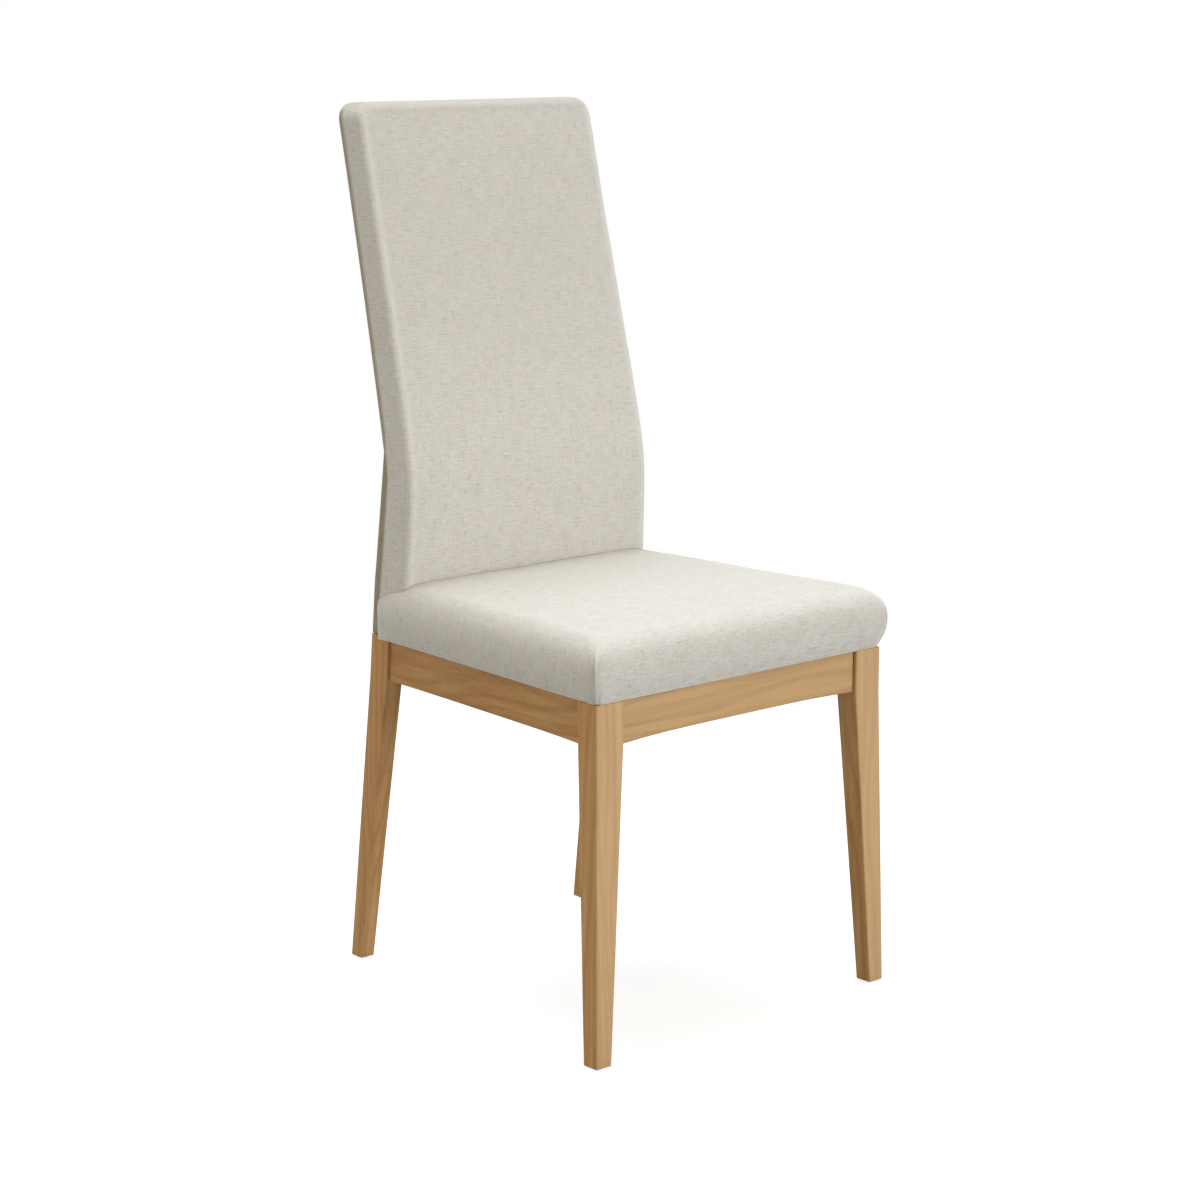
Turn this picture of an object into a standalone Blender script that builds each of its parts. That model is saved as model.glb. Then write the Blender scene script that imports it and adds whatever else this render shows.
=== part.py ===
"""Upholstered high-back dining chair.

Oak frame of two tapered front legs, two sawn rear posts, four doweled aprons and screwed corner
blocks. A padded seat on a plywood board, and a padded back that is bent at the lumbar and stands
on the posts. The chair faces -Y and stands on z = 0. Left and right are the sitter's.
Sizes are in metres.
"""

import math

import bmesh
import bpy
from mathutils import Matrix, Vector

# Clearances
GAP = 0.0003                 # between pieces that touch
PILOT = 0.0003               # round a dowel or screw in its hole

# Seat frame
FRAME_TOP = 0.414            # top of the front legs and aprons
FRAME_FRONT_Y = -0.2514      # front face of the front legs at the aprons
FRAME_LENGTH = 0.4477        # front of the front legs to the back of the posts, under the aprons
FRONT_HALF = 0.2252          # centre to the outer face of a front leg at the aprons
REAR_HALF = 0.1935           # centre to the outer face of a rear leg
EDGE_CHAMFER = 0.0010        # broken edges of the wood

# Front legs
FRONT_LEG_WIDTH = 0.040
FRONT_LEG_DEPTH = 0.0315
FRONT_FOOT = 0.0225
FRONT_SPLAY_SIDE = 0.0073
FRONT_SPLAY_AHEAD = 0.0083
LEG_SHOULDER = 0.003         # straight part of a front leg below the aprons

# Aprons
APRON_HEIGHT = 0.0505
APRON_THICKNESS = 0.020
APRON_SETBACK = 0.0045       # aprons stand back from the outer faces of the legs
FRONT_ARCH = 0.0036
SIDE_ARCH = 0.0012
ARCH_STEPS = 10

# Rear posts, each sawn in one piece from foot to top
POST_WIDTH = 0.0254
REAR_FOOT_WIDTH = 0.0197
POST_DEPTH = 0.032           # front to back, under the aprons
REAR_FOOT_DEPTH = 0.0207
POST_TOP_DEPTH = 0.021
POST_DROP = 0.046            # top of the back to the top of the posts
REAR_FOOT_RAKE = 0.0475      # how far the foot stands behind the seat frame
POST_LEAN_ANGLE = 5.37       # degrees forward, from the seat frame to the bend
POST_BEND_Z = 0.6565
POST_BEND_SOFTNESS = 0.010
RECLINE_ANGLE = 12.52        # degrees backward, above the bend
POST_REBATE = 0.0080         # the outer face is cut back above the seat, to take the padding
POST_TAPER_ANGLE = 1.20      # degrees a side: the posts come together above the seat
SHOULDER_RISE = 0.005        # the shoulder under the upholstery rises towards the back

# Back upholstery
BACK_TOP = 1.0460
BACK_BOTTOM = 0.462
BACK_HALF_TOP = 0.1830       # centre to the side of the back at its top
BACK_HALF_LOW = 0.1947       # and where it meets the seat: the sides flare down to this
BACK_LOW_RISE = 0.020        # above the bottom of the back, where the flare ends
LUMBAR_DROP = 0.0457         # the lumbar is fullest this far below the bend of the posts
LUMBAR_REACH = 0.0510        # and this far ahead of it
ABOVE_LUMBAR_ANGLE = 13.54   # degrees of the front face above the fullest point
BELOW_LUMBAR_ANGLE = 5.00   # and below it
LUMBAR_SOFTNESS = 0.040
BACK_REAR_DROP = 0.0335      # the rear of the cushion bends this far below the posts
BACK_REAR_REACH = 0.0036
BACK_REAR_ANGLE = 5.06       # degrees of the rear face below its bend
BACK_REAR_SOFTNESS = 0.012
BACK_FRONT_RADIUS = 0.011
BACK_REAR_RADIUS = 0.004
BACK_TOP_RADIUS = 0.010
BACK_LEAST_RADIUS = 0.001
BACK_CROWN = 0.0030
FLAP_WIDTH = 0.022           # the back cover is turned round on to the rear

# Back frame
BACK_BOARD_THICKNESS = 0.0040
BACK_BOARD_RISE = 0.0005     # crown of the seat to the board
RAIL_FRONT_INSET = 0.0015
RAIL_THICKNESS = 0.016
TENON_LENGTH = 0.010
TENON_INSET = 0.0035
LOWER_RAIL_HEIGHT = 0.046
MIDDLE_RAIL_HEIGHT = 0.040
TOP_RAIL_HEIGHT = 0.043
LOWER_RAIL_RISE = 0.0025     # crown of the seat to the lower rail
TOP_RAIL_DROP = 0.003        # top of the posts to the top rail

# Outside back
OUTSIDE_INSET = 0.0042       # side of the back to the side of the outside back
OUTSIDE_UPPER_INSET = 0.0080  # above the bend the cushion hides the outside back from the side
OUTSIDE_NARROWING = 0.030     # height over which the inset changes
OUTSIDE_BOARD = 0.0025
OUTSIDE_DROP = 0.019         # top of the back to the top of the outside back
OUTSIDE_RISE = 0.0065        # seat frame to the bottom of the outside back
OUTSIDE_CORNER = 0.0035

# Seat upholstery
SEAT_BELLY_Z = 0.4485        # height at which the seat is fullest
SEAT_BULGE = 0.0090
SEAT_EDGE_TOP = 0.4865
SEAT_CROWN = 0.0050
SEAT_ROUND = 0.034           # width of the round top edge
SEAT_SQUARE_RATIO = 2.4      # 2 is a quarter circle, more is squarer
SEAT_PAST_BACK = 0.0012      # rear end of the seat behind the rear of the back cushion
SEAT_CORNER = 0.012
SEAT_HEM = 0.018             # the cover is turned in under the board
CLOTH = 0.0012
SEAT_BOARD_THICKNESS = 0.012
SEAT_BOARD_INSET = 0.0035
DUST_COVER = 0.0005

# Dowels, corner blocks, screws and glides
DOWEL_RADIUS = 0.004
DOWEL_IN_APRON = 0.018
DOWEL_IN_LEG = 0.014
DOWEL_IN_POST = 0.010
DOWEL_DROP = 0.009           # top of the frame to the upper dowel of a side apron
DOWEL_PITCH = 0.021          # the cross aprons have theirs half a pitch lower
BLOCK_REACH = 0.050
BLOCK_HEIGHT = 0.028
BLOCK_SCREW_SHARE = 0.55     # place of a block screw along the reach of its block
BLOCK_SCREW_STAGGER = 0.005  # one screw above the middle of the block and one below
SCREW_RADIUS = 0.0020
SCREW_HEAD_RADIUS = 0.0038
SCREW_HEAD_HEIGHT = 0.0024
SCREW_SEAT = 0.012           # wood between the head of a block screw and the apron
SCREW_BITE = 0.012           # thread in the apron
SEAT_SCREW_BITE = 0.008
SEAT_SCREW_INSET = 0.011     # from the inner faces of a leg
COUNTERBORE = 0.0044
GLIDE_THICKNESS = 0.0010
GLIDE_RADIUS = 0.0080
GLIDE_NAIL_RADIUS = 0.0012
GLIDE_NAIL_LENGTH = 0.014

# Facets
ARC_STEPS = 4
BEND_STEP = 0.014            # height of the first facets above and below the bend of the posts
BEND_GROWTH = 0.004          # how much taller each next pair is, halved
BEND_LEVELS = 10
ROUND_SIDES = 12
SCREW_SIDES = 10
FAR = 0.5                    # well past the chair, for cutters


def bend(z, height, below, above, softness):
    """A smooth elbow in side view, 0 at the height: one slope below it and another above it."""
    u = z - height
    swing = math.hypot(u, softness) - softness
    return (below + above) / 2 * u + (above - below) / 2 * swing


def slope(angle):
    return math.tan(math.radians(angle))


def post_bend(z):
    return bend(z, POST_BEND_Z, -slope(POST_LEAN_ANGLE), slope(RECLINE_ANGLE), POST_BEND_SOFTNESS)


FRAME_BOTTOM = FRAME_TOP - APRON_HEIGHT
POST_BACK_Y = FRAME_FRONT_Y + FRAME_LENGTH
POST_BEND_Y = POST_BACK_Y - post_bend(FRAME_BOTTOM)
BOARD_BOTTOM = FRAME_TOP + GAP + CLOTH + GAP
BOARD_TOP = BOARD_BOTTOM + SEAT_BOARD_THICKNESS
SEAT_TOP = SEAT_EDGE_TOP + SEAT_CROWN
POST_TOP = BACK_TOP - POST_DROP
BACK_LOW_Z = BACK_BOTTOM + BACK_LOW_RISE
BACK_BOARD_BOTTOM = SEAT_TOP + BACK_BOARD_RISE
OUTSIDE_TOP = BACK_TOP - OUTSIDE_DROP
OUTSIDE_BOTTOM = FRAME_TOP + OUTSIDE_RISE
LOWER_RAIL = (SEAT_TOP + LOWER_RAIL_RISE, SEAT_TOP + LOWER_RAIL_RISE + LOWER_RAIL_HEIGHT)
TOP_RAIL = (POST_TOP - TOP_RAIL_DROP - TOP_RAIL_HEIGHT, POST_TOP - TOP_RAIL_DROP)
MIDDLE_OF_RAILS = (LOWER_RAIL[1] + TOP_RAIL[0]) / 2
MIDDLE_RAIL = (MIDDLE_OF_RAILS - MIDDLE_RAIL_HEIGHT / 2, MIDDLE_OF_RAILS + MIDDLE_RAIL_HEIGHT / 2)

SIDES = (("left", 1), ("right", -1))

pieces = bpy.data.collections.new("upholstered_dining_chair")
cutters = bpy.data.collections.new("cutters")
bores = {}


# Start from an empty scene

def clear_scene():
    for old in list(bpy.data.objects):
        bpy.data.objects.remove(old, do_unlink=True)
    bpy.context.scene.collection.children.link(pieces)
    bpy.context.scene.collection.children.link(cutters)


# Materials

def finish(name, colour, roughness, metallic=0.0):
    made = bpy.data.materials.new(name)
    made.use_nodes = True
    made.diffuse_color = (*colour, 1.0)
    shader = made.node_tree.nodes["Principled BSDF"]
    shader.inputs["Base Color"].default_value = (*colour, 1.0)
    shader.inputs["Roughness"].default_value = roughness
    shader.inputs["Metallic"].default_value = metallic
    return made


OAK = finish("oiled_oak", (0.50, 0.30, 0.14), 0.55)
BEECH = finish("beech", (0.62, 0.42, 0.26), 0.60)
PLYWOOD = finish("birch_plywood", (0.66, 0.50, 0.32), 0.65)
FIBREBOARD = finish("fibreboard", (0.28, 0.18, 0.10), 0.75)
FABRIC = finish("woven_upholstery", (0.66, 0.62, 0.53), 0.92)
FOAM = finish("cut_foam", (0.82, 0.78, 0.62), 0.95)
DUST_CLOTH = finish("black_dust_cloth", (0.02, 0.02, 0.02), 0.95)
STEEL = finish("zinc_plated_steel", (0.62, 0.60, 0.55), 0.35, 1.0)
NYLON = finish("brown_nylon", (0.10, 0.06, 0.04), 0.50)


# Mesh helpers

def add(name, mesh, material=None, chamfer=0.0):
    """Put a mesh in the scene as a piece, or as a hidden cutter when it has no material."""
    made = bpy.data.objects.new(name, mesh)
    if material is None:
        cutters.objects.link(made)
        made.hide_render = True
        made.display_type = "WIRE"
        return made
    pieces.objects.link(made)
    mesh.materials.clear()
    mesh.materials.append(material)
    if chamfer:
        edge = made.modifiers.new("broken_edges", "BEVEL")
        edge.width = chamfer
        edge.segments = 1
        edge.limit_method = "ANGLE"
        edge.angle_limit = math.radians(40)
    return made


def as_mesh(name, work):
    bmesh.ops.recalc_face_normals(work, faces=work.faces)
    mesh = bpy.data.meshes.new(name)
    work.to_mesh(mesh)
    work.free()
    return mesh


def smooth(made, angle=35):
    made.data.shade_smooth()
    made.data.set_sharp_from_angle(angle=math.radians(angle))


def loft(name, rings, cap_start=True, cap_end=True):
    """Skin closed rings of equal count, with flat caps where asked."""
    work = bmesh.new()
    rows = [[work.verts.new(point) for point in ring] for ring in rings]
    count = len(rings[0])
    for low, high in zip(rows, rows[1:]):
        for i in range(count):
            j = (i + 1) % count
            work.faces.new((low[i], low[j], high[j], high[i]))
    if cap_start:
        work.faces.new(rows[0])
    if cap_end:
        work.faces.new(rows[-1])
    return as_mesh(name, work)


def extruded(name, outline, thickness, place):
    """Extrude a flat outline from 0 to thickness, then put each point where place(u, v, w) says."""
    curve = bpy.data.curves.new(name, "CURVE")
    curve.dimensions = "2D"
    curve.fill_mode = "BOTH"
    curve.extrude = thickness / 2
    spline = curve.splines.new("POLY")
    spline.points.add(len(outline) - 1)
    for point, (u, v) in zip(spline.points, outline):
        point.co = (u, v, 0, 1)
    spline.use_cyclic_u = True
    shape = bpy.data.objects.new(name, curve)
    bpy.context.scene.collection.objects.link(shape)
    bpy.context.view_layer.update()
    flat = bpy.data.meshes.new_from_object(shape.evaluated_get(bpy.context.evaluated_depsgraph_get()))
    bpy.data.objects.remove(shape)
    work = bmesh.new()
    work.from_mesh(flat)
    bpy.data.meshes.remove(flat)
    bmesh.ops.remove_doubles(work, verts=work.verts, dist=0.000001)
    for vert in work.verts:
        vert.co = Vector(place(vert.co.x, vert.co.y, vert.co.z + thickness / 2))
    return as_mesh(name, work)


def turned(name, profile, sides):
    """Turn a profile of (radius, height) points, given from the top down, about the Z axis."""
    mesh = bpy.data.meshes.new(name)
    points = [(radius, 0, height) for radius, height in profile]
    mesh.from_pydata(points, [(i, i + 1) for i in range(len(points) - 1)], [])
    shape = bpy.data.objects.new(name, mesh)
    bpy.context.scene.collection.objects.link(shape)
    turn = shape.modifiers.new("turn", "SCREW")
    turn.steps = sides
    turn.render_steps = sides
    turn.use_merge_vertices = True
    turn.merge_threshold = 0.00001
    bpy.context.view_layer.update()
    made = bpy.data.meshes.new_from_object(shape.evaluated_get(bpy.context.evaluated_depsgraph_get()))
    bpy.data.objects.remove(shape)
    bpy.data.meshes.remove(mesh)
    work = bmesh.new()
    work.from_mesh(made)
    bpy.data.meshes.remove(made)
    return as_mesh(name, work)


def along(start, end):
    """Matrix that stands the Z axis on start and points it at end."""
    direction = Vector(end) - Vector(start)
    return Matrix.Translation(start) @ direction.to_track_quat("Z", "Y").to_matrix().to_4x4()


def bore(piece, start, end, profile):
    """Note a round hole in a piece: its profile is turned about the line from start to end."""
    bores.setdefault(piece.name, []).append((along(start, end), profile))


def straight_hole(start, end, radius):
    length = (Vector(end) - Vector(start)).length
    return [(0, length + PILOT), (radius, length + PILOT), (radius, -PILOT), (0, -PILOT)]


def drill_holes():
    for piece, holes in bores.items():
        work = bmesh.new()
        for matrix, profile in holes:
            drill = turned("drill", profile, ROUND_SIDES)
            drill.transform(matrix)
            work.from_mesh(drill)
            bpy.data.meshes.remove(drill)
        name = "holes_of_" + piece
        cut(bpy.data.objects[piece], add(name, as_mesh(name, work)))


def cut(piece, cutter):
    step = piece.modifiers.new("cut_" + cutter.name, "BOOLEAN")
    step.operation = "DIFFERENCE"
    step.object = cutter


# Curves that the frame and the upholstery share

def post_back(z):
    rake = max(FRAME_BOTTOM - z, 0.0) / FRAME_BOTTOM
    return POST_BEND_Y + post_bend(max(z, FRAME_BOTTOM)) + REAR_FOOT_RAKE * rake


def post_depth(z):
    if z < FRAME_BOTTOM:
        return POST_DEPTH + (REAR_FOOT_DEPTH - POST_DEPTH) * (FRAME_BOTTOM - z) / FRAME_BOTTOM
    return POST_DEPTH + (POST_TOP_DEPTH - POST_DEPTH) * (z - FRAME_BOTTOM) / (POST_TOP - FRAME_BOTTOM)


def post_front(z):
    return post_back(z) - post_depth(z)


def back_half(z):
    share = (BACK_TOP - max(z, BACK_LOW_Z)) / (BACK_TOP - BACK_LOW_Z)
    return BACK_HALF_TOP + (BACK_HALF_LOW - BACK_HALF_TOP) * share ** 2


def back_front(z):
    fullest = POST_BEND_Z - LUMBAR_DROP
    curve = bend(z, fullest, -slope(BELOW_LUMBAR_ANGLE), slope(ABOVE_LUMBAR_ANGLE), LUMBAR_SOFTNESS)
    return POST_BEND_Y - LUMBAR_REACH + curve


def back_rear(z):
    height = POST_BEND_Z - BACK_REAR_DROP
    curve = bend(z, height, -slope(BACK_REAR_ANGLE), slope(RECLINE_ANGLE), BACK_REAR_SOFTNESS)
    return POST_BEND_Y - BACK_REAR_REACH + curve


def post_outer(z):
    """Outer face of a post inside the upholstery."""
    return REAR_HALF - POST_REBATE - slope(POST_TAPER_ANGLE) * (z - FRAME_TOP)


def post_inner(z):
    """Inner face of a post: it follows the outer face above the seat and tapers below it."""
    taper = (POST_WIDTH - REAR_FOOT_WIDTH) * max(FRAME_BOTTOM - z, 0.0) / FRAME_BOTTOM
    return REAR_HALF - POST_WIDTH + taper - slope(POST_TAPER_ANGLE) * max(z - FRAME_TOP, 0.0)


def side_line(y):
    """Outer faces of the seat frame in plan, from the front legs to the rear legs."""
    share = (y - FRAME_FRONT_Y) / (post_front(FRAME_TOP) - FRAME_FRONT_Y)
    return FRONT_HALF + (REAR_HALF - FRONT_HALF) * share


def seat_rear():
    """Rear end of the seat at its fullest, where the underside of the back comes to an edge."""
    return back_rear(BACK_BOTTOM) + SEAT_PAST_BACK


def levels(low, high):
    """Heights shared by all that follows the bend of the back, close together at the bend."""
    grid = [POST_BEND_Z]
    for i in range(1, BEND_LEVELS):
        away = BEND_STEP * i + BEND_GROWTH * i * (i - 1)
        grid += [POST_BEND_Z - away, POST_BEND_Z + away]
    margin = BEND_STEP / 2
    return [low] + [z for z in sorted(grid) if low + margin < z < high - margin] + [high]


def rectangle(x0, x1, y0, y1, z):
    return [(x0, y0, z), (x1, y0, z), (x1, y1, z), (x0, y1, z)]


def bent(name, rise, inner, outer, front, rear):
    """Loft level rectangles whose four sides follow the given curves up the chair."""
    return loft(name, [rectangle(inner(z), outer(z), front(z), rear(z), z) for z in rise])


# Wooden frame


def front_leg(word, side):
    top = (FRONT_HALF - FRONT_LEG_WIDTH, FRONT_HALF, FRAME_FRONT_Y, FRAME_FRONT_Y + FRONT_LEG_DEPTH)
    foot_outer = FRONT_HALF + FRONT_SPLAY_SIDE
    foot_front = FRAME_FRONT_Y - FRONT_SPLAY_AHEAD
    foot = (foot_outer - FRONT_FOOT, foot_outer, foot_front, foot_front + FRONT_FOOT)
    rise = [(foot, GLIDE_THICKNESS), (top, FRAME_BOTTOM - LEG_SHOULDER), (top, FRAME_TOP)]
    rings = [rectangle(side * x0, side * x1, y0, y1, z) for (x0, x1, y0, y1), z in rise]
    name = "front_leg_" + word
    leg = add(name, loft(name, rings), OAK, EDGE_CHAMFER)
    centre = (side * (foot_outer - FRONT_FOOT / 2), foot_front + FRONT_FOOT / 2)
    glide("glide_front_" + word, leg, centre)
    return leg


def post_solid(name, side, gap):
    """A rear post, grown by gap on every face when it serves to clear its neighbours."""
    rise = [GLIDE_THICKNESS, FRAME_BOTTOM] + levels(FRAME_TOP, POST_TOP + gap)
    return bent(name, rise, lambda z: side * (post_inner(z) - gap), lambda z: side * (REAR_HALF + gap),
                lambda z: post_front(z) - gap, lambda z: post_back(z) + gap)


def shoulder_cutter(name, side, gap):
    """Clears the outer face of a post from just above the seat frame, where it is covered."""
    low = FRAME_TOP + GAP + gap
    rise = SHOULDER_RISE / post_depth(FRAME_TOP)

    def ring(y):
        lift = rise * (y - post_front(FRAME_TOP))
        ends = [(post_outer(low + lift) + gap, low + lift), (post_outer(POST_TOP) + gap, POST_TOP)]
        above = POST_TOP + FAR
        points = ends + [(post_outer(POST_TOP) + gap, above), (FAR, above), (FAR, low + lift)]
        return [(side * x, y, z) for x, z in points]

    return add(name, loft(name, [ring(y) for y in (-FAR, FAR)]))


def rear_post(word, side):
    name = "rear_post_" + word
    post = add(name, post_solid(name, side, 0.0), OAK, EDGE_CHAMFER)
    cut(post, shoulder_cutter("shoulder_" + word, side, 0.0))
    foot = GLIDE_THICKNESS
    centre = (side * (REAR_HALF - REAR_FOOT_WIDTH / 2), post_back(foot) - REAR_FOOT_DEPTH / 2)
    glide("glide_rear_" + word, post, centre)
    return post


def post_clearance(word, side):
    name = "clearance_of_post_" + word
    grown = add(name, post_solid(name, side, GAP))
    cut(grown, shoulder_cutter("clearance_shoulder_" + word, side, GAP))
    return grown


def glide(name, leg, centre):
    """A nail-on glide: a flat button with a nail that goes up into the foot."""
    x, y = centre
    tip = GLIDE_THICKNESS + GLIDE_NAIL_LENGTH
    top = GLIDE_THICKNESS - GAP
    rounding = GLIDE_THICKNESS / 3
    nail = [(0, tip), (GLIDE_NAIL_RADIUS, tip - GLIDE_NAIL_RADIUS), (GLIDE_NAIL_RADIUS, top)]
    button = [(GLIDE_RADIUS, top), (GLIDE_RADIUS, rounding), (GLIDE_RADIUS - rounding, 0), (0, 0)]
    made = add(name, turned(name, nail + button, ROUND_SIDES), NYLON)
    made.location = (x, y, 0)
    smooth(made)
    start, end = (x, y, 0), (x, y, tip)
    bore(leg, start, end, straight_hole(start, end, GLIDE_NAIL_RADIUS + PILOT))


def arch(rise, share):
    """Height of the hollowed lower edge of an apron, at a share of its length from -1 to 1."""
    return rise * (1 - share ** 4)


def straight_apron(name, half, y0, rise):
    lower = []
    for i in range(ARCH_STEPS + 1):
        share = 2 * i / ARCH_STEPS - 1
        lower.append((share * half, FRAME_BOTTOM + arch(rise, share)))
    outline = lower + [(half, FRAME_TOP), (-half, FRAME_TOP)]
    mesh = extruded(name, outline, APRON_THICKNESS, lambda x, z, w: (x, y0 + w, z))
    return add(name, mesh, OAK, EDGE_CHAMFER)


def side_apron(word, side):
    """The rear end is cut to the rake of the post, and both ends are square to the chair."""
    y0 = FRAME_FRONT_Y + FRONT_LEG_DEPTH + GAP
    y1 = post_front(FRAME_BOTTOM) - GAP
    lower = []
    for i in range(ARCH_STEPS + 1):
        share = 2 * i / ARCH_STEPS - 1
        lower.append(((y0 + y1) / 2 + share * (y1 - y0) / 2, FRAME_BOTTOM + arch(SIDE_ARCH, share)))
    outline = lower + [(post_front(FRAME_TOP) - GAP, FRAME_TOP), (y0, FRAME_TOP)]
    name = "side_apron_" + word

    def place(y, z, w):
        return side * (side_line(y) - APRON_SETBACK - w), y, z

    return add(name, extruded(name, outline, APRON_THICKNESS, place), OAK, EDGE_CHAMFER)


def dowel(name, start, end, hosts):
    length = (Vector(end) - Vector(start)).length
    work = bmesh.new()
    bmesh.ops.create_cone(work, cap_ends=True, segments=ROUND_SIDES, radius1=DOWEL_RADIUS,
                          radius2=DOWEL_RADIUS, depth=length)
    made = add(name, as_mesh(name, work), BEECH, EDGE_CHAMFER / 2)
    made.matrix_world = along(start, end) @ Matrix.Translation((0, 0, length / 2))
    smooth(made)
    for host in hosts:
        bore(host, start, end, straight_hole(start, end, DOWEL_RADIUS + PILOT))


def dowel_joints(word, side, leg, post, front, rear, flank):
    """Two dowels in each of the four apron joints on one side, staggered so that none meet."""

    def middle(y, z):
        return side * (side_line(y) - APRON_SETBACK - APRON_THICKNESS / 2), y, z

    for i, level in enumerate(("upper", "lower")):
        tail = level + "_" + word
        z = FRAME_TOP - DOWEL_DROP - i * DOWEL_PITCH
        y = FRAME_FRONT_Y + FRONT_LEG_DEPTH
        start, end = middle(y - DOWEL_IN_LEG, z), middle(y + DOWEL_IN_APRON, z)
        dowel("dowel_side_front_" + tail, start, end, (leg, flank))
        y = post_front(z)
        start, end = middle(y - DOWEL_IN_APRON, z), middle(y + DOWEL_IN_POST, z)
        dowel("dowel_side_rear_" + tail, start, end, (post, flank))
        z -= DOWEL_PITCH / 2
        x = FRONT_HALF - FRONT_LEG_WIDTH
        y = FRAME_FRONT_Y + APRON_SETBACK + APRON_THICKNESS / 2
        start, end = (side * (x - DOWEL_IN_APRON), y, z), (side * (x + DOWEL_IN_LEG), y, z)
        dowel("dowel_front_" + tail, start, end, (leg, front))
        x = REAR_HALF - POST_WIDTH
        y = rear_apron_front() + APRON_THICKNESS / 2
        start, end = (side * (x - DOWEL_IN_APRON), y, z), (side * (x + DOWEL_IN_POST), y, z)
        dowel("dowel_rear_" + tail, start, end, (post, rear))


def rear_apron_front():
    """The rear apron is flush with the front of the posts at its lower edge."""
    return post_front(FRAME_BOTTOM)


def screw(name, head, tip, hosts, counterbore):
    """A wood screw whose head bears at the point head. The counterbore runs back from there."""
    head, tip = Vector(head), Vector(tip)
    length = (tip - head).length
    profile = [(0, length), (SCREW_RADIUS, length - 2 * SCREW_RADIUS), (SCREW_RADIUS, 0),
               (SCREW_HEAD_RADIUS, 0), (SCREW_HEAD_RADIUS, -SCREW_HEAD_HEIGHT / 2),
               (SCREW_HEAD_RADIUS / 2, -SCREW_HEAD_HEIGHT), (0, -SCREW_HEAD_HEIGHT)]
    made = add(name, turned(name, profile, SCREW_SIDES), STEEL)
    made.matrix_world = along(head, tip)
    smooth(made)
    shank = SCREW_RADIUS + PILOT
    wide = COUNTERBORE
    stepped = [(0, length + PILOT), (shank, length + PILOT), (shank, GAP), (wide, GAP), (wide, -counterbore),
               (0, -counterbore)]
    bore(hosts[0], head, tip, stepped)
    for host in hosts[1:]:
        bore(host, head, tip, straight_hole(head, tip, shank))


def corner_block(end, word, side, apron, flank, board, dust):
    """A block in the corner behind a leg, notched round the leg where it stands in far enough."""
    if end == "front":
        facing = 1
        wall_y = FRAME_FRONT_Y + APRON_SETBACK + APRON_THICKNESS + GAP
        leg_x = FRONT_HALF - FRONT_LEG_WIDTH - GAP
        leg_y = FRAME_FRONT_Y + FRONT_LEG_DEPTH + GAP
    else:
        facing = -1
        wall_y = rear_apron_front() - GAP
        leg_x = REAR_HALF - POST_WIDTH - GAP
        leg_y = post_front(FRAME_TOP) - GAP
    far_y = leg_y + facing * BLOCK_REACH

    def wall_x(y):
        return side_line(y) - APRON_SETBACK - APRON_THICKNESS - GAP

    near = Vector((leg_x - BLOCK_REACH, wall_y))
    far = Vector((wall_x(far_y), far_y))
    outline = [near, Vector((leg_x, wall_y)), Vector((leg_x, leg_y))]
    if wall_x(leg_y) - leg_x > 3 * EDGE_CHAMFER:
        outline.append(Vector((wall_x(leg_y), leg_y)))
    outline.append(far)
    top = FRAME_TOP - GAP
    name = "corner_block_%s_%s" % (end, word)
    mesh = extruded(name, outline, BLOCK_HEIGHT, lambda x, y, w: (side * x, y, top - w))
    block = add(name, mesh, BEECH, EDGE_CHAMFER)

    middle = top - BLOCK_HEIGHT / 2
    screw_name = "block_screw_%s_%s_" % (end, word)
    z = middle + BLOCK_SCREW_STAGGER
    x = leg_x - BLOCK_SCREW_SHARE * BLOCK_REACH
    slant = wall_y + (x - near.x) / (far.x - near.x) * (far_y - wall_y)
    head, tip = wall_y + facing * SCREW_SEAT, wall_y - facing * SCREW_BITE
    screw(screw_name + "across", (side * x, head, z), (side * x, tip, z), (block, apron),
          abs(slant - head) + COUNTERBORE)
    z = middle - BLOCK_SCREW_STAGGER
    y = leg_y + facing * BLOCK_SCREW_SHARE * BLOCK_REACH
    slant = near.x + (y - wall_y) / (far_y - wall_y) * (far.x - near.x)
    head, tip = wall_x(y) - SCREW_SEAT, wall_x(y) + SCREW_BITE
    screw(screw_name + "along", (side * head, y, z), (side * tip, y, z), (block, flank),
          head - slant + COUNTERBORE)

    x = leg_x - SEAT_SCREW_INSET
    y = leg_y + facing * SEAT_SCREW_INSET
    low = top - BLOCK_HEIGHT
    screw("seat_screw_%s_%s" % (end, word), (side * x, y, low + SCREW_HEAD_HEIGHT),
          (side * x, y, BOARD_BOTTOM + SEAT_SCREW_BITE), (block, board, dust), SCREW_HEAD_HEIGHT + GAP)


def rail_ring(side, span, inset, reach):
    """Section of a back rail, held between the faces of the post: reach is past its inner face."""
    low, high = span[0] + inset, span[1] - inset
    points = []
    for z in (low, high):
        front = post_front(z) + RAIL_FRONT_INSET
        points.append((front + inset, front + RAIL_THICKNESS - inset, z))
    (f0, r0, z0), (f1, r1, z1) = points
    ring = [(f0, z0), (r0, z0), (r1, z1), (f1, z1)]
    return [(side * (post_inner(z) + reach), y, z) for y, z in ring]


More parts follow.
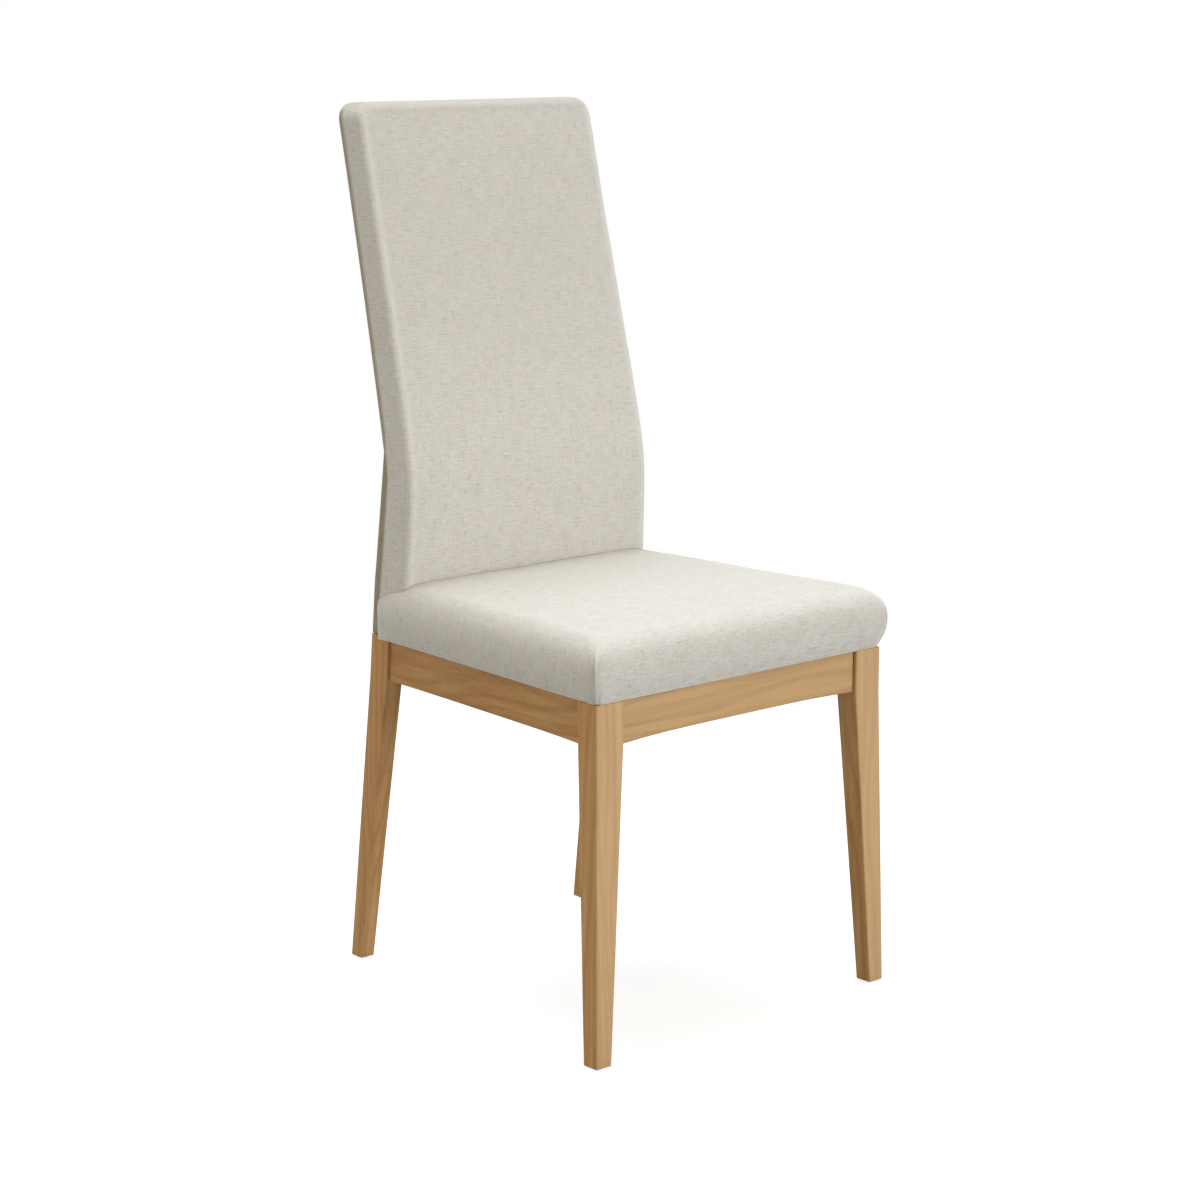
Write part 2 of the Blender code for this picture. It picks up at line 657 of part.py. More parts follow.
def back_rail(name, span, posts):
    rings = []
    for side in (-1, 1):
        end = [rail_ring(side, span, TENON_INSET, TENON_LENGTH), rail_ring(side, span, TENON_INSET, -GAP),
               rail_ring(side, span, 0.0, -GAP)]
        rings += end if side < 0 else end[::-1]
    rail = add(name, loft(name, rings), BEECH)
    for (word, side), post in zip(SIDES, posts):
        mortise = "mortise_%s_%s" % (name, word)
        reaches = (-TENON_LENGTH, TENON_LENGTH + GAP)
        room = [rail_ring(side, span, TENON_INSET - GAP, reach) for reach in reaches]
        cut(post, add(mortise, loft(mortise, room)))
    return rail


def back_board():
    """Bent plywood on the front of the posts, which carries the foam."""
    mesh = bent("back_board", levels(BACK_BOARD_BOTTOM, POST_TOP), lambda z: -post_outer(z), post_outer,
                lambda z: post_front(z) - GAP - BACK_BOARD_THICKNESS, lambda z: post_front(z) - GAP)
    return add("back_board", mesh, PLYWOOD)


# Upholstery

def rounded(corners, radii, mids):
    """Ring round a convex outline with rounded corners and extra points along its edges."""
    ring = []
    count = len(corners)
    for i in range(count):
        before, here, after = (Vector(corners[k % count]) for k in (i - 1, i, i + 1))
        a = (before - here).normalized()
        b = (after - here).normalized()
        half = a.angle(b) / 2
        centre = here + (a + b).normalized() * radii[i] / math.sin(half)
        start = here + a * radii[i] / math.tan(half) - centre
        end = here + b * radii[i] / math.tan(half) - centre
        sweep = start.angle_signed(end)
        for k in range(ARC_STEPS + 1):
            ring.append(centre + Matrix.Rotation(-sweep * k / ARC_STEPS, 2) @ start)
        tail = ring[-1]
        following = Vector(corners[(i + 2) % count])
        c = (here - after).normalized()
        d = (following - after).normalized()
        landing = after + c * radii[(i + 1) % count] / math.tan(c.angle(d) / 2)
        for k in range(mids[i]):
            ring.append(tail.lerp(landing, (k + 1) / (mids[i] + 1)))
    return ring


def seat_plan(offset, mids=(0, 0, 0, 0)):
    """Outline of the seat, offset from the outer faces of the frame."""
    front = FRAME_FRONT_Y - offset
    rear = seat_rear() - SEAT_BULGE + offset
    corners = [(-side_line(front) - offset, front), (side_line(front) + offset, front),
               (side_line(rear) + offset, rear), (-side_line(rear) - offset, rear)]
    return rounded(corners, [SEAT_CORNER] * 4, mids)


def seat_ring(offset, z):
    return [(x, y, z) for x, y in seat_plan(offset, mids=(4, 3, 3, 3))]


def seat_sides(inset, low):
    """Rings up the side of the seat: a full belly, then a round top edge."""
    rings = []
    for i in range(4):
        z = low + (SEAT_BELLY_Z - low) * i / 4
        drop = (SEAT_BELLY_Z - z) / (SEAT_BELLY_Z - FRAME_TOP)
        rings.append(seat_ring(SEAT_BULGE * (1 - drop * drop) - inset, z))
    power = 2 / SEAT_SQUARE_RATIO
    rise = SEAT_EDGE_TOP - SEAT_BELLY_Z - inset
    for i in range(6):
        angle = math.pi / 2 * i / 5
        away = SEAT_ROUND * (1 - max(math.cos(angle), 0.0) ** power)
        rings.append(seat_ring(SEAT_BULGE - inset - away, SEAT_BELLY_Z + rise * math.sin(angle) ** power))
    return rings


def seat_crown(edge):
    """Rings over the top of the seat, up to the crown."""
    middle = sum((Vector(point) for point in edge), Vector()) / len(edge)
    rings = []
    for share in (0.75, 0.45, 0.15):
        lift = Vector((0, 0, SEAT_CROWN * (1 - share * share)))
        rings.append([tuple(middle.lerp(Vector(point), share) + lift) for point in edge])
    return rings


def seat_form(name, inset, low, hem=None):
    sides = seat_sides(inset, low)
    start = [hem] if hem else []
    return loft(name, start + sides + seat_crown(sides[-1]), cap_start=hem is None)


def shell(piece, thickness):
    wall = piece.modifiers.new("thickness", "SOLIDIFY")
    wall.thickness = thickness
    wall.offset = -1
    wall.use_even_offset = True


def seat_upholstery(posts):
    low = FRAME_TOP + GAP
    hem = seat_ring(-SEAT_HEM, low)
    cover = add("seat_cover", seat_form("seat_cover", 0.0, low, hem), FABRIC)
    shell(cover, CLOTH)
    foam = add("seat_foam", seat_form("seat_foam", CLOTH + 2 * GAP, BOARD_TOP + GAP), FOAM)
    mesh = extruded("seat_board", seat_plan(-SEAT_BOARD_INSET), SEAT_BOARD_THICKNESS,
                    lambda x, y, w: (x, y, BOARD_BOTTOM + w))
    board = add("seat_board", mesh, PLYWOOD)
    dust_bottom = BOARD_BOTTOM - GAP - DUST_COVER
    mesh = extruded("dust_cover", seat_plan(-SEAT_HEM - GAP), DUST_COVER,
                    lambda x, y, w: (x, y, dust_bottom + w))
    dust = add("dust_cover", mesh, DUST_CLOTH)
    for piece in (cover, foam, board, dust):
        for grown in posts:
            cut(piece, grown)
        if piece is not dust:
            smooth(piece)
    return board, dust


def back_ring(z, inset, shrink):
    """Plan of the back at a height: shrink draws it in round the top edge."""
    half = back_half(z) - inset - shrink
    front = back_front(z) + inset + shrink
    rear = back_rear(z) - inset - shrink
    corners = [(-half, front), (half, front), (half, rear), (-half, rear)]
    tip = max(BACK_FRONT_RADIUS - inset - shrink, BACK_LEAST_RADIUS)
    heel = max(BACK_REAR_RADIUS - inset - shrink, BACK_LEAST_RADIUS)
    ring = []
    for x, y in rounded(corners, (tip, tip, heel, heel), (3, 1, 2, 1)):
        across = 1 - (x / half) ** 2
        is_front = y < (front + rear) / 2
        ring.append((x, y - (BACK_CROWN * across if is_front else 0.0), z))
    return ring


def back_form(name, inset, cap_start):
    radius = BACK_TOP_RADIUS
    shoulder = BACK_TOP - inset - radius
    rings = [back_ring(z, inset, 0.0) for z in levels(BACK_BOTTOM, shoulder)]
    for i in range(1, 5):
        angle = math.pi / 2 * i / 4
        shrink = radius * (1 - math.cos(angle))
        rings.append(back_ring(shoulder + radius * math.sin(angle), inset, min(shrink, radius * 0.96)))
    return loft(name, rings, cap_start=cap_start)


def back_slot(name, half, front, top):
    """Cutter that follows the bend of the back, from the curve front(z) out to the rear."""
    rise = [FRAME_TOP] + levels(BACK_BOTTOM, top)
    return add(name, bent(name, rise, lambda z: -half(z), half, front, lambda z: FAR))


def back_upholstery(posts):
    seat_room = add("clearance_of_seat", seat_form("clearance_of_seat", -GAP, FRAME_TOP))
    frame_room = back_slot("clearance_of_back_frame", lambda z: post_outer(z) + GAP,
                           lambda z: post_front(z) - 2 * GAP - BACK_BOARD_THICKNESS, POST_TOP + GAP)
    opening = back_slot("opening_of_back_cover", lambda z: back_half(z) - FLAP_WIDTH,
                        lambda z: (back_front(z) + back_rear(z)) / 2, POST_TOP)
    relief = back_slot("relief_for_posts", lambda z: post_outer(z) + GAP,
                       lambda z: (back_front(z) + back_rear(z)) / 2, POST_BEND_Z)
    cover = add("back_cover", back_form("back_cover", 0.0, cap_start=False), FABRIC)
    shell(cover, CLOTH)
    foam = add("back_foam", back_form("back_foam", CLOTH + GAP, cap_start=True), FOAM)
    cut(foam, frame_room)
    for room in (opening, relief, *posts):
        cut(cover, room)
    for piece in (cover, foam):
        cut(piece, seat_room)
        smooth(piece)


def outside_face(z):
    """What the outside back lies against: the posts below the bend, the cushion above it."""
    return max(post_back(z), back_rear(z)) + GAP


def outside_half(z):
    share = min(max((z - POST_BEND_Z) / OUTSIDE_NARROWING + 0.5, 0.0), 1.0)
    return back_half(z) - OUTSIDE_INSET - (OUTSIDE_UPPER_INSET - OUTSIDE_INSET) * share


def outside_back():
    """A fibreboard covered in fabric, whose sides return along the posts to the cushion."""
    rise = levels(OUTSIDE_BOTTOM, BACK_BOTTOM) + levels(BACK_BOTTOM, OUTSIDE_TOP)[1:]

    def board_half(z):
        return outside_half(z) - CLOTH - GAP

    mesh = bent("outside_back_board", rise, lambda z: -board_half(z), board_half, outside_face,
                lambda z: outside_face(z) + OUTSIDE_BOARD)
    add("outside_back_board", mesh, FIBREBOARD)
    rings = []
    for z in rise:
        half = outside_half(z)
        inner = half - CLOTH
        wall = outside_face(z) + OUTSIDE_BOARD + GAP
        rear = wall + CLOTH
        tip = (back_rear(z) if z > BACK_BOTTOM else seat_rear()) + GAP
        soft = OUTSIDE_CORNER * 0.3
        plan = [(half, tip), (half, rear - OUTSIDE_CORNER), (half - soft, rear - soft),
                (half - OUTSIDE_CORNER, rear)]
        hollow = [(inner, wall), (inner, tip)]
        right = [(x, y, z) for x, y in plan]
        left = [(-x, y, z) for x, y in reversed(plan)]
        inside = [(-x, y, z) for x, y in reversed(hollow)] + [(x, y, z) for x, y in hollow]
        rings.append(right + left + inside)
    cover = add("outside_back_cover", loft("outside_back_cover", rings), FABRIC)
    smooth(cover)


# Assembly

def build():
    clear_scene()
    legs = {word: front_leg(word, side) for word, side in SIDES}
    posts = {word: rear_post(word, side) for word, side in SIDES}
    grown = [post_clearance(word, side) for word, side in SIDES]
    front = straight_apron("front_apron", FRONT_HALF - FRONT_LEG_WIDTH - GAP,
                           FRAME_FRONT_Y + APRON_SETBACK, FRONT_ARCH)
    rear = straight_apron("rear_apron", REAR_HALF - POST_WIDTH - GAP, rear_apron_front(), FRONT_ARCH)
    board, dust = seat_upholstery(grown)
    for word, side in SIDES:
        flank = side_apron(word, side)
        dowel_joints(word, side, legs[word], posts[word], front, rear, flank)
        corner_block("front", word, side, front, flank, board, dust)
        corner_block("rear", word, side, rear, flank, board, dust)
    both = [posts[word] for word, side in SIDES]
    back_rail("back_lower_rail", LOWER_RAIL, both)
    back_rail("back_middle_rail", MIDDLE_RAIL, both)
    back_rail("back_top_rail", TOP_RAIL, both)
    back_board()
    back_upholstery(grown)
    outside_back()
    drill_holes()
    bpy.context.view_layer.update()


build()
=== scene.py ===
"""Looks of the upholstered high-back dining chair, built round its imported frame. Sizes are in metres."""

from math import copysign, cos, exp, hypot, pi, radians, sin, sqrt, tan

import bmesh
import bpy
import numpy as np
from mathutils import Matrix, Vector, noise
from mathutils.kdtree import KDTree


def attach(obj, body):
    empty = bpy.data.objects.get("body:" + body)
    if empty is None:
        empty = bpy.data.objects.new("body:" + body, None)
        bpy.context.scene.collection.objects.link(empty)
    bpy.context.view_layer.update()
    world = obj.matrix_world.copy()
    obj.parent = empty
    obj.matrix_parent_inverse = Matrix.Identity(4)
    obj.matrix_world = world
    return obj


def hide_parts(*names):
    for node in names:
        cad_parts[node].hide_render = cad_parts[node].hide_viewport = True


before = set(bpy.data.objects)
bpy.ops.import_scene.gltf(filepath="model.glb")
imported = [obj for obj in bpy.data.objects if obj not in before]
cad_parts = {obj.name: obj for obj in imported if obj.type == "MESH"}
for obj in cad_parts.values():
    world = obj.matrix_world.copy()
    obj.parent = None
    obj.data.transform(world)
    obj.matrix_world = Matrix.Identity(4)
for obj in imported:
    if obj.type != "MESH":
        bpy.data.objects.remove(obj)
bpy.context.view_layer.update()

# Sizes of the frame that the upholstery is fitted to
GAP = 0.0003
FRAME_TOP = 0.414
FRAME_BOTTOM = 0.3635
FRAME_FRONT_Y = -0.2514
FRAME_LENGTH = 0.4477
FRONT_HALF = 0.2252
REAR_HALF = 0.1935
POST_WIDTH = 0.0254
POST_DEPTH = 0.032
POST_TOP_DEPTH = 0.021
POST_TOP = 1.000
POST_REBATE = 0.0080
POST_TAPER = tan(radians(1.20))
POST_LEAN = tan(radians(5.37))
RECLINE = tan(radians(12.52))
POST_BEND_Z = 0.6565
POST_BEND_SOFTNESS = 0.010
BOARD_BOTTOM = 0.4158
BOARD_TOP = 0.4278
BACK_BOARD_THICKNESS = 0.0040

# Back cushion
BACK_TOP = 1.0460
BACK_BOTTOM = 0.462
BACK_HALF_TOP = 0.1830
BACK_HALF_LOW = 0.1947
BACK_LOW_Z = 0.482
LUMBAR_Z = 0.6108
LUMBAR_REACH = 0.0510
LUMBAR_ABOVE = tan(radians(13.54))
LUMBAR_BELOW = tan(radians(5.00))
LUMBAR_SOFTNESS = 0.040
BACK_REAR_Z = 0.623
BACK_REAR_REACH = 0.0036
BACK_REAR_SLOPE = tan(radians(5.06))
BACK_REAR_SOFTNESS = 0.012
BACK_FRONT_RADIUS = 0.010
BACK_REAR_RADIUS = 0.003
BACK_TOP_RADIUS = 0.010
BACK_CORNER = 0.022          # rounding of the top corners, seen from the front
BACK_STUFFED = 0.0012        # the cushion stands this much higher than its frame was drawn
BACK_FOOT = 0.440            # the cushion starts inside the seat and is cut to its form
BACK_CROWN = 0.0035
BACK_TOP_DOME = 0.0004       # the middle of its top stands this much above the edge
BACK_TOP_SHARES = (0.75, 0.5, 0.25, 0.04)
BACK_TOP_DRAW = 0.96         # share of its radius that the top draws in by at most
BACK_SLANT = 1.035           # length of its cloth for each metre of height
BACK_WAVES = (0.0005, 0.070)  # height and size of the slight waves in its cover
LEAST_RADIUS = 0.001
FLAP_WIDTH = 0.022

# Seat cushion
SEAT_LOW = FRAME_TOP + GAP
SEAT_BELLY_Z = 0.4485
SEAT_BULGE = 0.0090
SEAT_EDGE_TOP = 0.4865
SEAT_CROWN = 0.0050
SEAT_ROUND = 0.034
SEAT_POWER = 2 / 2.4
SEAT_CORNER = 0.0105
SEAT_CORNER_SOFTER = 0.40    # how fast the front corners grow rounder over the top edge
SEAT_REAR_CORNER = 0.003
SEAT_END_HALF = 0.1951       # the sides end flush with the back cushion
SEAT_END_REACH = 0.060       # length over which they draw in to it
SEAT_HEM = 0.018
SEAT_PAST_BACK = 0.0012      # rear end of the seat behind the rear of the back cushion
SEAT_SWEEP = 0.97            # how far its top rings go towards the middle
SEAT_WAVES = (0.0006, 0.055)
FINER, FINER_SHARE = 2.3, 0.5  # the waves carry smaller and lower ones
WADDING = 0.0045             # cover and wadding together
CLOTH = 0.0012
SEAM_WIDTH = 0.0014
SEAM_HEIGHT = 0.0005

# Outside back
OUTSIDE_INSET = 0.0042
OUTSIDE_UPPER_INSET = 0.0080
OUTSIDE_NARROWING = 0.030
STRIP_SHOWN = 0.0030
STRIP_FADE = (0.600, 0.652)  # heights between which that strip narrows away
OUTSIDE_BOARD = 0.0025
OUTSIDE_TOP = 1.027
OUTSIDE_BOTTOM = 0.4205
OUTSIDE_CORNER = 0.0035
OUTSIDE_FOLD = 0.0010        # its cloth turns in this far below the foot
OUTSIDE_FOLD_DEPTH = 0.28    # share of its depth left where the folds end
OUTSIDE_CROWN = 0.0006
OUTSIDE_WAVE, OUTSIDE_WAVE_SIZE = 0.4, 0.09
OUTSIDE_SLANT = 1.02

# Dust cloth
DUST_THICKNESS = 0.0005
DUST_HANG = 0.0026
DUST_RIPPLE = 0.0004
DUST_WAVES = 9
DUST_PULL = 0.0006
DUST_PLEATS = 28

# Cloth simulation
VOXEL = 0.006
BLEND = 0.008                # reach over which its movement is handed to the finer form
NEAREST = 10
SEAT_SPARE = 0.008           # cut off again below the seat, for a crisp lower edge
START_INSET = 0.0002         # the pads start smaller and swell
SWELL = 0.0016               # the furthest out that a point may move
SINK = 0.0004                # the furthest in
SWELL_RANK = 98              # percentile of the points that the limit is set by
PINNED_HEM = 0.004           # heights and depths up to which the pads are held
PINNED_FOOT = 0.006
PINNED_REAR = 0.004
SWELL_FRAMES = 20
CLOTH_SETTINGS = {
    "vertex_group_mass": "pinned", "use_pressure": True, "uniform_pressure_force": 4.0,
    "quality": 4, "mass": 0.35, "tension_stiffness": 60, "compression_stiffness": 60,
    "shear_stiffness": 30, "bending_stiffness": 8.0}

# Cutters
FAR = 0.5
CUT_FROM = 0.3
ROOM_SPARE = 0.004
SHAFT_SPARE = 0.01
STEP_RISE = 0.00001          # a step in a cutter rises by this little, so no two rings fall together


def bend(z, height, below, above, softness):
    """A line with one slope below a height and another above it, and a soft bend between."""
    u = z - height
    swing = hypot(u, softness) - softness
    return (below + above) / 2 * u + (above - below) / 2 * swing


def post_bend(z):
    return bend(z, POST_BEND_Z, -POST_LEAN, RECLINE, POST_BEND_SOFTNESS)


POST_BEND_Y = FRAME_FRONT_Y + FRAME_LENGTH - post_bend(FRAME_BOTTOM)


def post_back(z):
    return POST_BEND_Y + post_bend(z)


def post_front(z):
    share = (z - FRAME_BOTTOM) / (POST_TOP - FRAME_BOTTOM)
    return post_back(z) - POST_DEPTH - (POST_TOP_DEPTH - POST_DEPTH) * share


def post_outer(z):
    return REAR_HALF - POST_REBATE - POST_TAPER * (z - FRAME_TOP)


def post_inner(z):
    return REAR_HALF - POST_WIDTH - POST_TAPER * max(z - FRAME_TOP, 0.0)


def back_half(z):
    share = (BACK_TOP - max(z, BACK_LOW_Z)) / (BACK_TOP - BACK_LOW_Z)
    return BACK_HALF_TOP + (BACK_HALF_LOW - BACK_HALF_TOP) * share ** 2


def back_front(z):
    return POST_BEND_Y - LUMBAR_REACH + bend(z, LUMBAR_Z, -LUMBAR_BELOW, LUMBAR_ABOVE, LUMBAR_SOFTNESS)


def back_rear(z):
    return POST_BEND_Y - BACK_REAR_REACH + bend(z, BACK_REAR_Z, -BACK_REAR_SLOPE, RECLINE, BACK_REAR_SOFTNESS)


def outside_face(z):
    return max(post_back(z), back_rear(z)) + GAP


SEAT_REAR = back_rear(BACK_BOTTOM) + SEAT_PAST_BACK
SEAT_END = back_rear(BACK_BOTTOM) - GAP


def smooth_step(share):
    return share * share * (3 - 2 * share)


def ramp(value, low, high):
    """0 below low, 1 above high, smooth between."""
    return smooth_step(min(max((value - low) / (high - low), 0.0), 1.0))


def cushion_rear(z):
    """Rear edge of the back cushion, which leaves a strip of the outside back in sight below the bend."""
    return back_rear(z) - STRIP_SHOWN * (1 - ramp(z, *STRIP_FADE))


def side_line(y):
    share = (y - FRAME_FRONT_Y) / (post_front(FRAME_TOP) - FRAME_FRONT_Y)
    return FRONT_HALF + (REAR_HALF - FRONT_HALF) * share


# Mesh helpers

def new_object(name, data):
    made = bpy.data.objects.new(name, data)
    bpy.context.scene.collection.objects.link(made)
    return made


def drop(piece):
    mesh = piece.data
    bpy.data.objects.remove(piece, do_unlink=True)
    bpy.data.meshes.remove(mesh)


def loft(name, rings, closed_ring=True, caps=True):
    work = bmesh.new()
    rows = [[work.verts.new(point) for point in ring] for ring in rings]
    count = len(rings[0])
    for low, high in zip(rows, rows[1:]):
        for i in range(count if closed_ring else count - 1):
            j = (i + 1) % count
            work.faces.new((low[i], low[j], high[j], high[i]))
    if caps:
        work.faces.new(rows[0])
        work.faces.new(rows[-1])
    bmesh.ops.recalc_face_normals(work, faces=work.faces)
    mesh = bpy.data.meshes.new(name)
    work.to_mesh(mesh)
    work.free()
    return new_object(name, mesh)


def settle(piece):
    """Apply all modifiers of a piece to a new mesh."""
    bpy.context.view_layer.update()
    seen = piece.evaluated_get(bpy.context.evaluated_depsgraph_get())
    made = bpy.data.meshes.new_from_object(seen)
    old = piece.data
    piece.modifiers.clear()
    piece.data = made
    bpy.data.meshes.remove(old)


def positions(mesh, what="co"):
    values = np.zeros(len(mesh.vertices) * 3, np.float32)
    mesh.vertices.foreach_get(what, values)
    return values.reshape(-1, 3).astype(float)


def vertex_normals(mesh):
    return positions(mesh, "normal")


def set_positions(mesh, places):
    mesh.vertices.foreach_set("co", places.astype(np.float32).ravel())
    mesh.update()


def carve(piece, *cutters):
    """Cut the cutters out of a closed piece, one after the other, and drop them."""
    for cutter in cutters:
        before = len(piece.data.vertices)
        step = piece.modifiers.new("carve", "BOOLEAN")
        step.operation = "DIFFERENCE"
        step.solver = "MANIFOLD"
        step.object = cutter
        settle(piece)
        if len(piece.data.vertices) < before / 2:
            raise RuntimeError(piece.name + " was lost in the cut by " + cutter.name)
        drop(cutter)


def largest_body(piece):
    """Keep the largest connected part of a mesh."""
    work = bmesh.new()
    work.from_mesh(piece.data)
    left = set(work.verts)
    groups = []
    while left:
        group = [left.pop()]
        for vert in group:
            found = {link.other_vert(vert) for link in vert.link_edges} & left
            left -= found
            group += found
        groups.append(group)
    groups.sort(key=len)
    loose = [vert for group in groups[:-1] for vert in group]
    bmesh.ops.delete(work, geom=loose, context="VERTS")
    work.to_mesh(piece.data)
    work.free()


# Forms of the cushions

def rounded(corners, radii, mids, arc):
    """Ring round a convex outline with rounded corners and extra points along its edges."""
    ring = []
    count = len(corners)
    for i in range(count):
        before, here, after = (Vector(corners[k % count]) for k in (i - 1, i, i + 1))
        a = (before - here).normalized()
        b = (after - here).normalized()
        half = a.angle(b) / 2
        centre = here + (a + b).normalized() * radii[i] / sin(half)
        start = here + a * radii[i] / tan(half) - centre
        end = here + b * radii[i] / tan(half) - centre
        sweep = start.angle_signed(end)
        for k in range(arc + 1):
            ring.append(centre + Matrix.Rotation(-sweep * k / arc, 2) @ start)
        tail = ring[-1]
        following = Vector(corners[(i + 2) % count])
        c = (here - after).normalized()
        d = (following - after).normalized()
        landing = after + c * radii[(i + 1) % count] / tan(c.angle(d) / 2)
        for k in range(mids[i]):
            ring.append(tail.lerp(landing, (k + 1) / (mids[i] + 1)))
    return ring


def seat_plan(offset, front, rear, softer, z, fine):
    half, rear_half = side_line(front) + offset, side_line(rear) + offset
    corners = [(-half, front), (half, front), (rear_half, rear), (-rear_half, rear)]
    tip = SEAT_CORNER + softer
    radii = (tip, tip, SEAT_REAR_CORNER, SEAT_REAR_CORNER)
    mids, arc = ((90, 96, 76, 96), 14) if fine else ((22, 24, 18, 24), 6)
    return [(x, y, z) for x, y in rounded(corners, radii, mids, arc)]


def seat_ring(belly, shrink, z, fine=False):
    """Outline of the seat cushion: full at the front, straight and upright at its rear end."""
    offset = SEAT_BULGE * belly - shrink
    rear = SEAT_END - shrink
    plan = seat_plan(offset, FRAME_FRONT_Y - offset, rear, shrink * SEAT_CORNER_SOFTER, z, fine)
    narrower = (SEAT_END_HALF - shrink) / (side_line(rear) + offset) - 1
    ring = []
    for x, y, z in plan:
        drawn = min(max((y - rear) / SEAT_END_REACH + 1, 0.0), 1.0)
        ring.append((x * (1 + narrower * drawn ** 2), y, z))
    return ring


def hem_ring(z):
    front = FRAME_FRONT_Y + SEAT_HEM
    rear = SEAT_REAR - SEAT_BULGE - SEAT_HEM
    return seat_plan(-SEAT_HEM, front, rear, 0.0, z, False)


def seat_rings(inset, low, fine=False):
    rings = []
    steps, turns, sweeps = (12, 20, 24) if fine else (6, 10, 7)
    for i in range(steps):
        z = low + (SEAT_BELLY_Z - low) * i / steps
        fall = (SEAT_BELLY_Z - z) / (SEAT_BELLY_Z - FRAME_TOP)
        rings.append(seat_ring(1 - fall * fall, inset, z, fine))
    rise = SEAT_EDGE_TOP - SEAT_BELLY_Z - inset
    for i in range(turns + 1):
        angle = pi / 2 * i / turns
        away = SEAT_ROUND * (1 - max(cos(angle), 0.0) ** SEAT_POWER)
        rings.append(seat_ring(1.0, inset + away, SEAT_BELLY_Z + rise * sin(angle) ** SEAT_POWER, fine))
    edge = rings[-1]
    middle = sum((Vector(point) for point in edge), Vector()) / len(edge)
    for i in range(1, sweeps + 1):
        share = 1 - SEAT_SWEEP * i / sweeps
        lift = Vector((0, 0, SEAT_CROWN * (1 - share * share)))
        rings.append([tuple(middle.lerp(Vector(point), share) + lift) for point in edge])
    return rings


def corner_fall(z, top):
    rise = min(max(z - (top - BACK_CORNER), 0.0), BACK_CORNER)
    return BACK_CORNER - sqrt(BACK_CORNER ** 2 - rise ** 2)


def back_ring(z, inset, shrink, top, fine=False):
    half = back_half(z) - inset - max(shrink, corner_fall(z, top))
    front = back_front(z) + inset + shrink
    rear = cushion_rear(z) - inset - shrink
    corners = [(-half, front), (half, front), (half, rear), (-half, rear)]
    tip = max(BACK_FRONT_RADIUS - inset - shrink, LEAST_RADIUS)
    heel = max(BACK_REAR_RADIUS - inset - shrink, LEAST_RADIUS)
    mids = (84, 18, 72, 18) if fine else (14, 3, 12, 3)
    ring = []
    for x, y in rounded(corners, (tip, tip, heel, heel), mids, 6):
        across = 1 - (x / half) ** 2
        is_front = y < (front + rear) / 2
        ring.append((x, y - (BACK_CROWN * across if is_front else 0.0), z))
    return ring


def back_rings(inset, low, high, fine=False):
    radius = BACK_TOP_RADIUS
    top = high - inset
    shoulder = top - BACK_CORNER
    count = 140 if fine else 60
    rings = [back_ring(low + (shoulder - low) * i / count, inset, 0.0, top, fine) for i in range(count)]
    turns = 16 if fine else 8
    for i in range(turns + 1):
        angle = pi / 2 * i / turns
        z = shoulder + BACK_CORNER * sin(angle)
        over = min(max((z - top + radius) / radius, 0.0), 1.0)
        shrink = radius * (1 - sqrt(1 - over * over))
        rings.append(back_ring(z, inset, min(shrink, radius * BACK_TOP_DRAW), top, fine))
    edge = rings[-1]
    depth = sum(y for x, y, z in edge) / len(edge)
    for share in BACK_TOP_SHARES:
        rings.append([(x, depth + (y - depth) * share, z + BACK_TOP_DOME * (1 - share)) for x, y, z in edge])
    return rings


def bent_block(name, levels, inner, outer, front, rear):
    """A block between four curves that are functions of the height."""
    rings = []
    for z in levels:
        plan = ((inner(z), front(z)), (outer(z), front(z)), (outer(z), rear(z)), (inner(z), rear(z)))
        rings.append([(x, y, z) for x, y in plan])
    return loft(name, rings)


def heights(low, high, count=24):
    return [low + (high - low) * i / count for i in range(count + 1)]


def post_room(side):
    """Room for a rear post inside the upholstery, with the usual gap all round."""
    return bent_block("room", heights(FRAME_TOP - ROOM_SPARE, POST_TOP + GAP),
                      lambda z: side * (post_inner(z) - GAP), lambda z: side * (post_outer(z) + GAP),
                      lambda z: post_front(z) - GAP, lambda z: post_back(z) + GAP)


def stuffed(piece, pinned):
    """Blow up a coarser copy with cloth simulation. Gives its points and how far each one moves outwards."""
    copy = new_object("stuffed", piece.data.copy())
    step = copy.modifiers.new("remesh", "REMESH")
    step.mode = "VOXEL"
    step.voxel_size = VOXEL
    settle(copy)
    start = positions(copy.data)
    normals = vertex_normals(copy.data)
    group = copy.vertex_groups.new(name="pinned")
    group.add([i for i, point in enumerate(start) if pinned(*point)], 1.0, "REPLACE")
    cloth = copy.modifiers.new("cloth", "CLOTH")
    for key, value in CLOTH_SETTINGS.items():
        setattr(cloth.settings, key, value)
    cloth.settings.effector_weights.gravity = 0.0
    cloth.point_cache.frame_start = 1
    cloth.point_cache.frame_end = SWELL_FRAMES
    for number in range(1, SWELL_FRAMES + 1):
        bpy.context.scene.frame_set(number)
    seen = copy.evaluated_get(bpy.context.evaluated_depsgraph_get())
    after = bpy.data.meshes.new_from_object(seen)
    end = positions(after)
    bpy.data.meshes.remove(after)
    drop(copy)
    bpy.context.scene.frame_set(1)
    return start, ((end - start) * normals).sum(1)


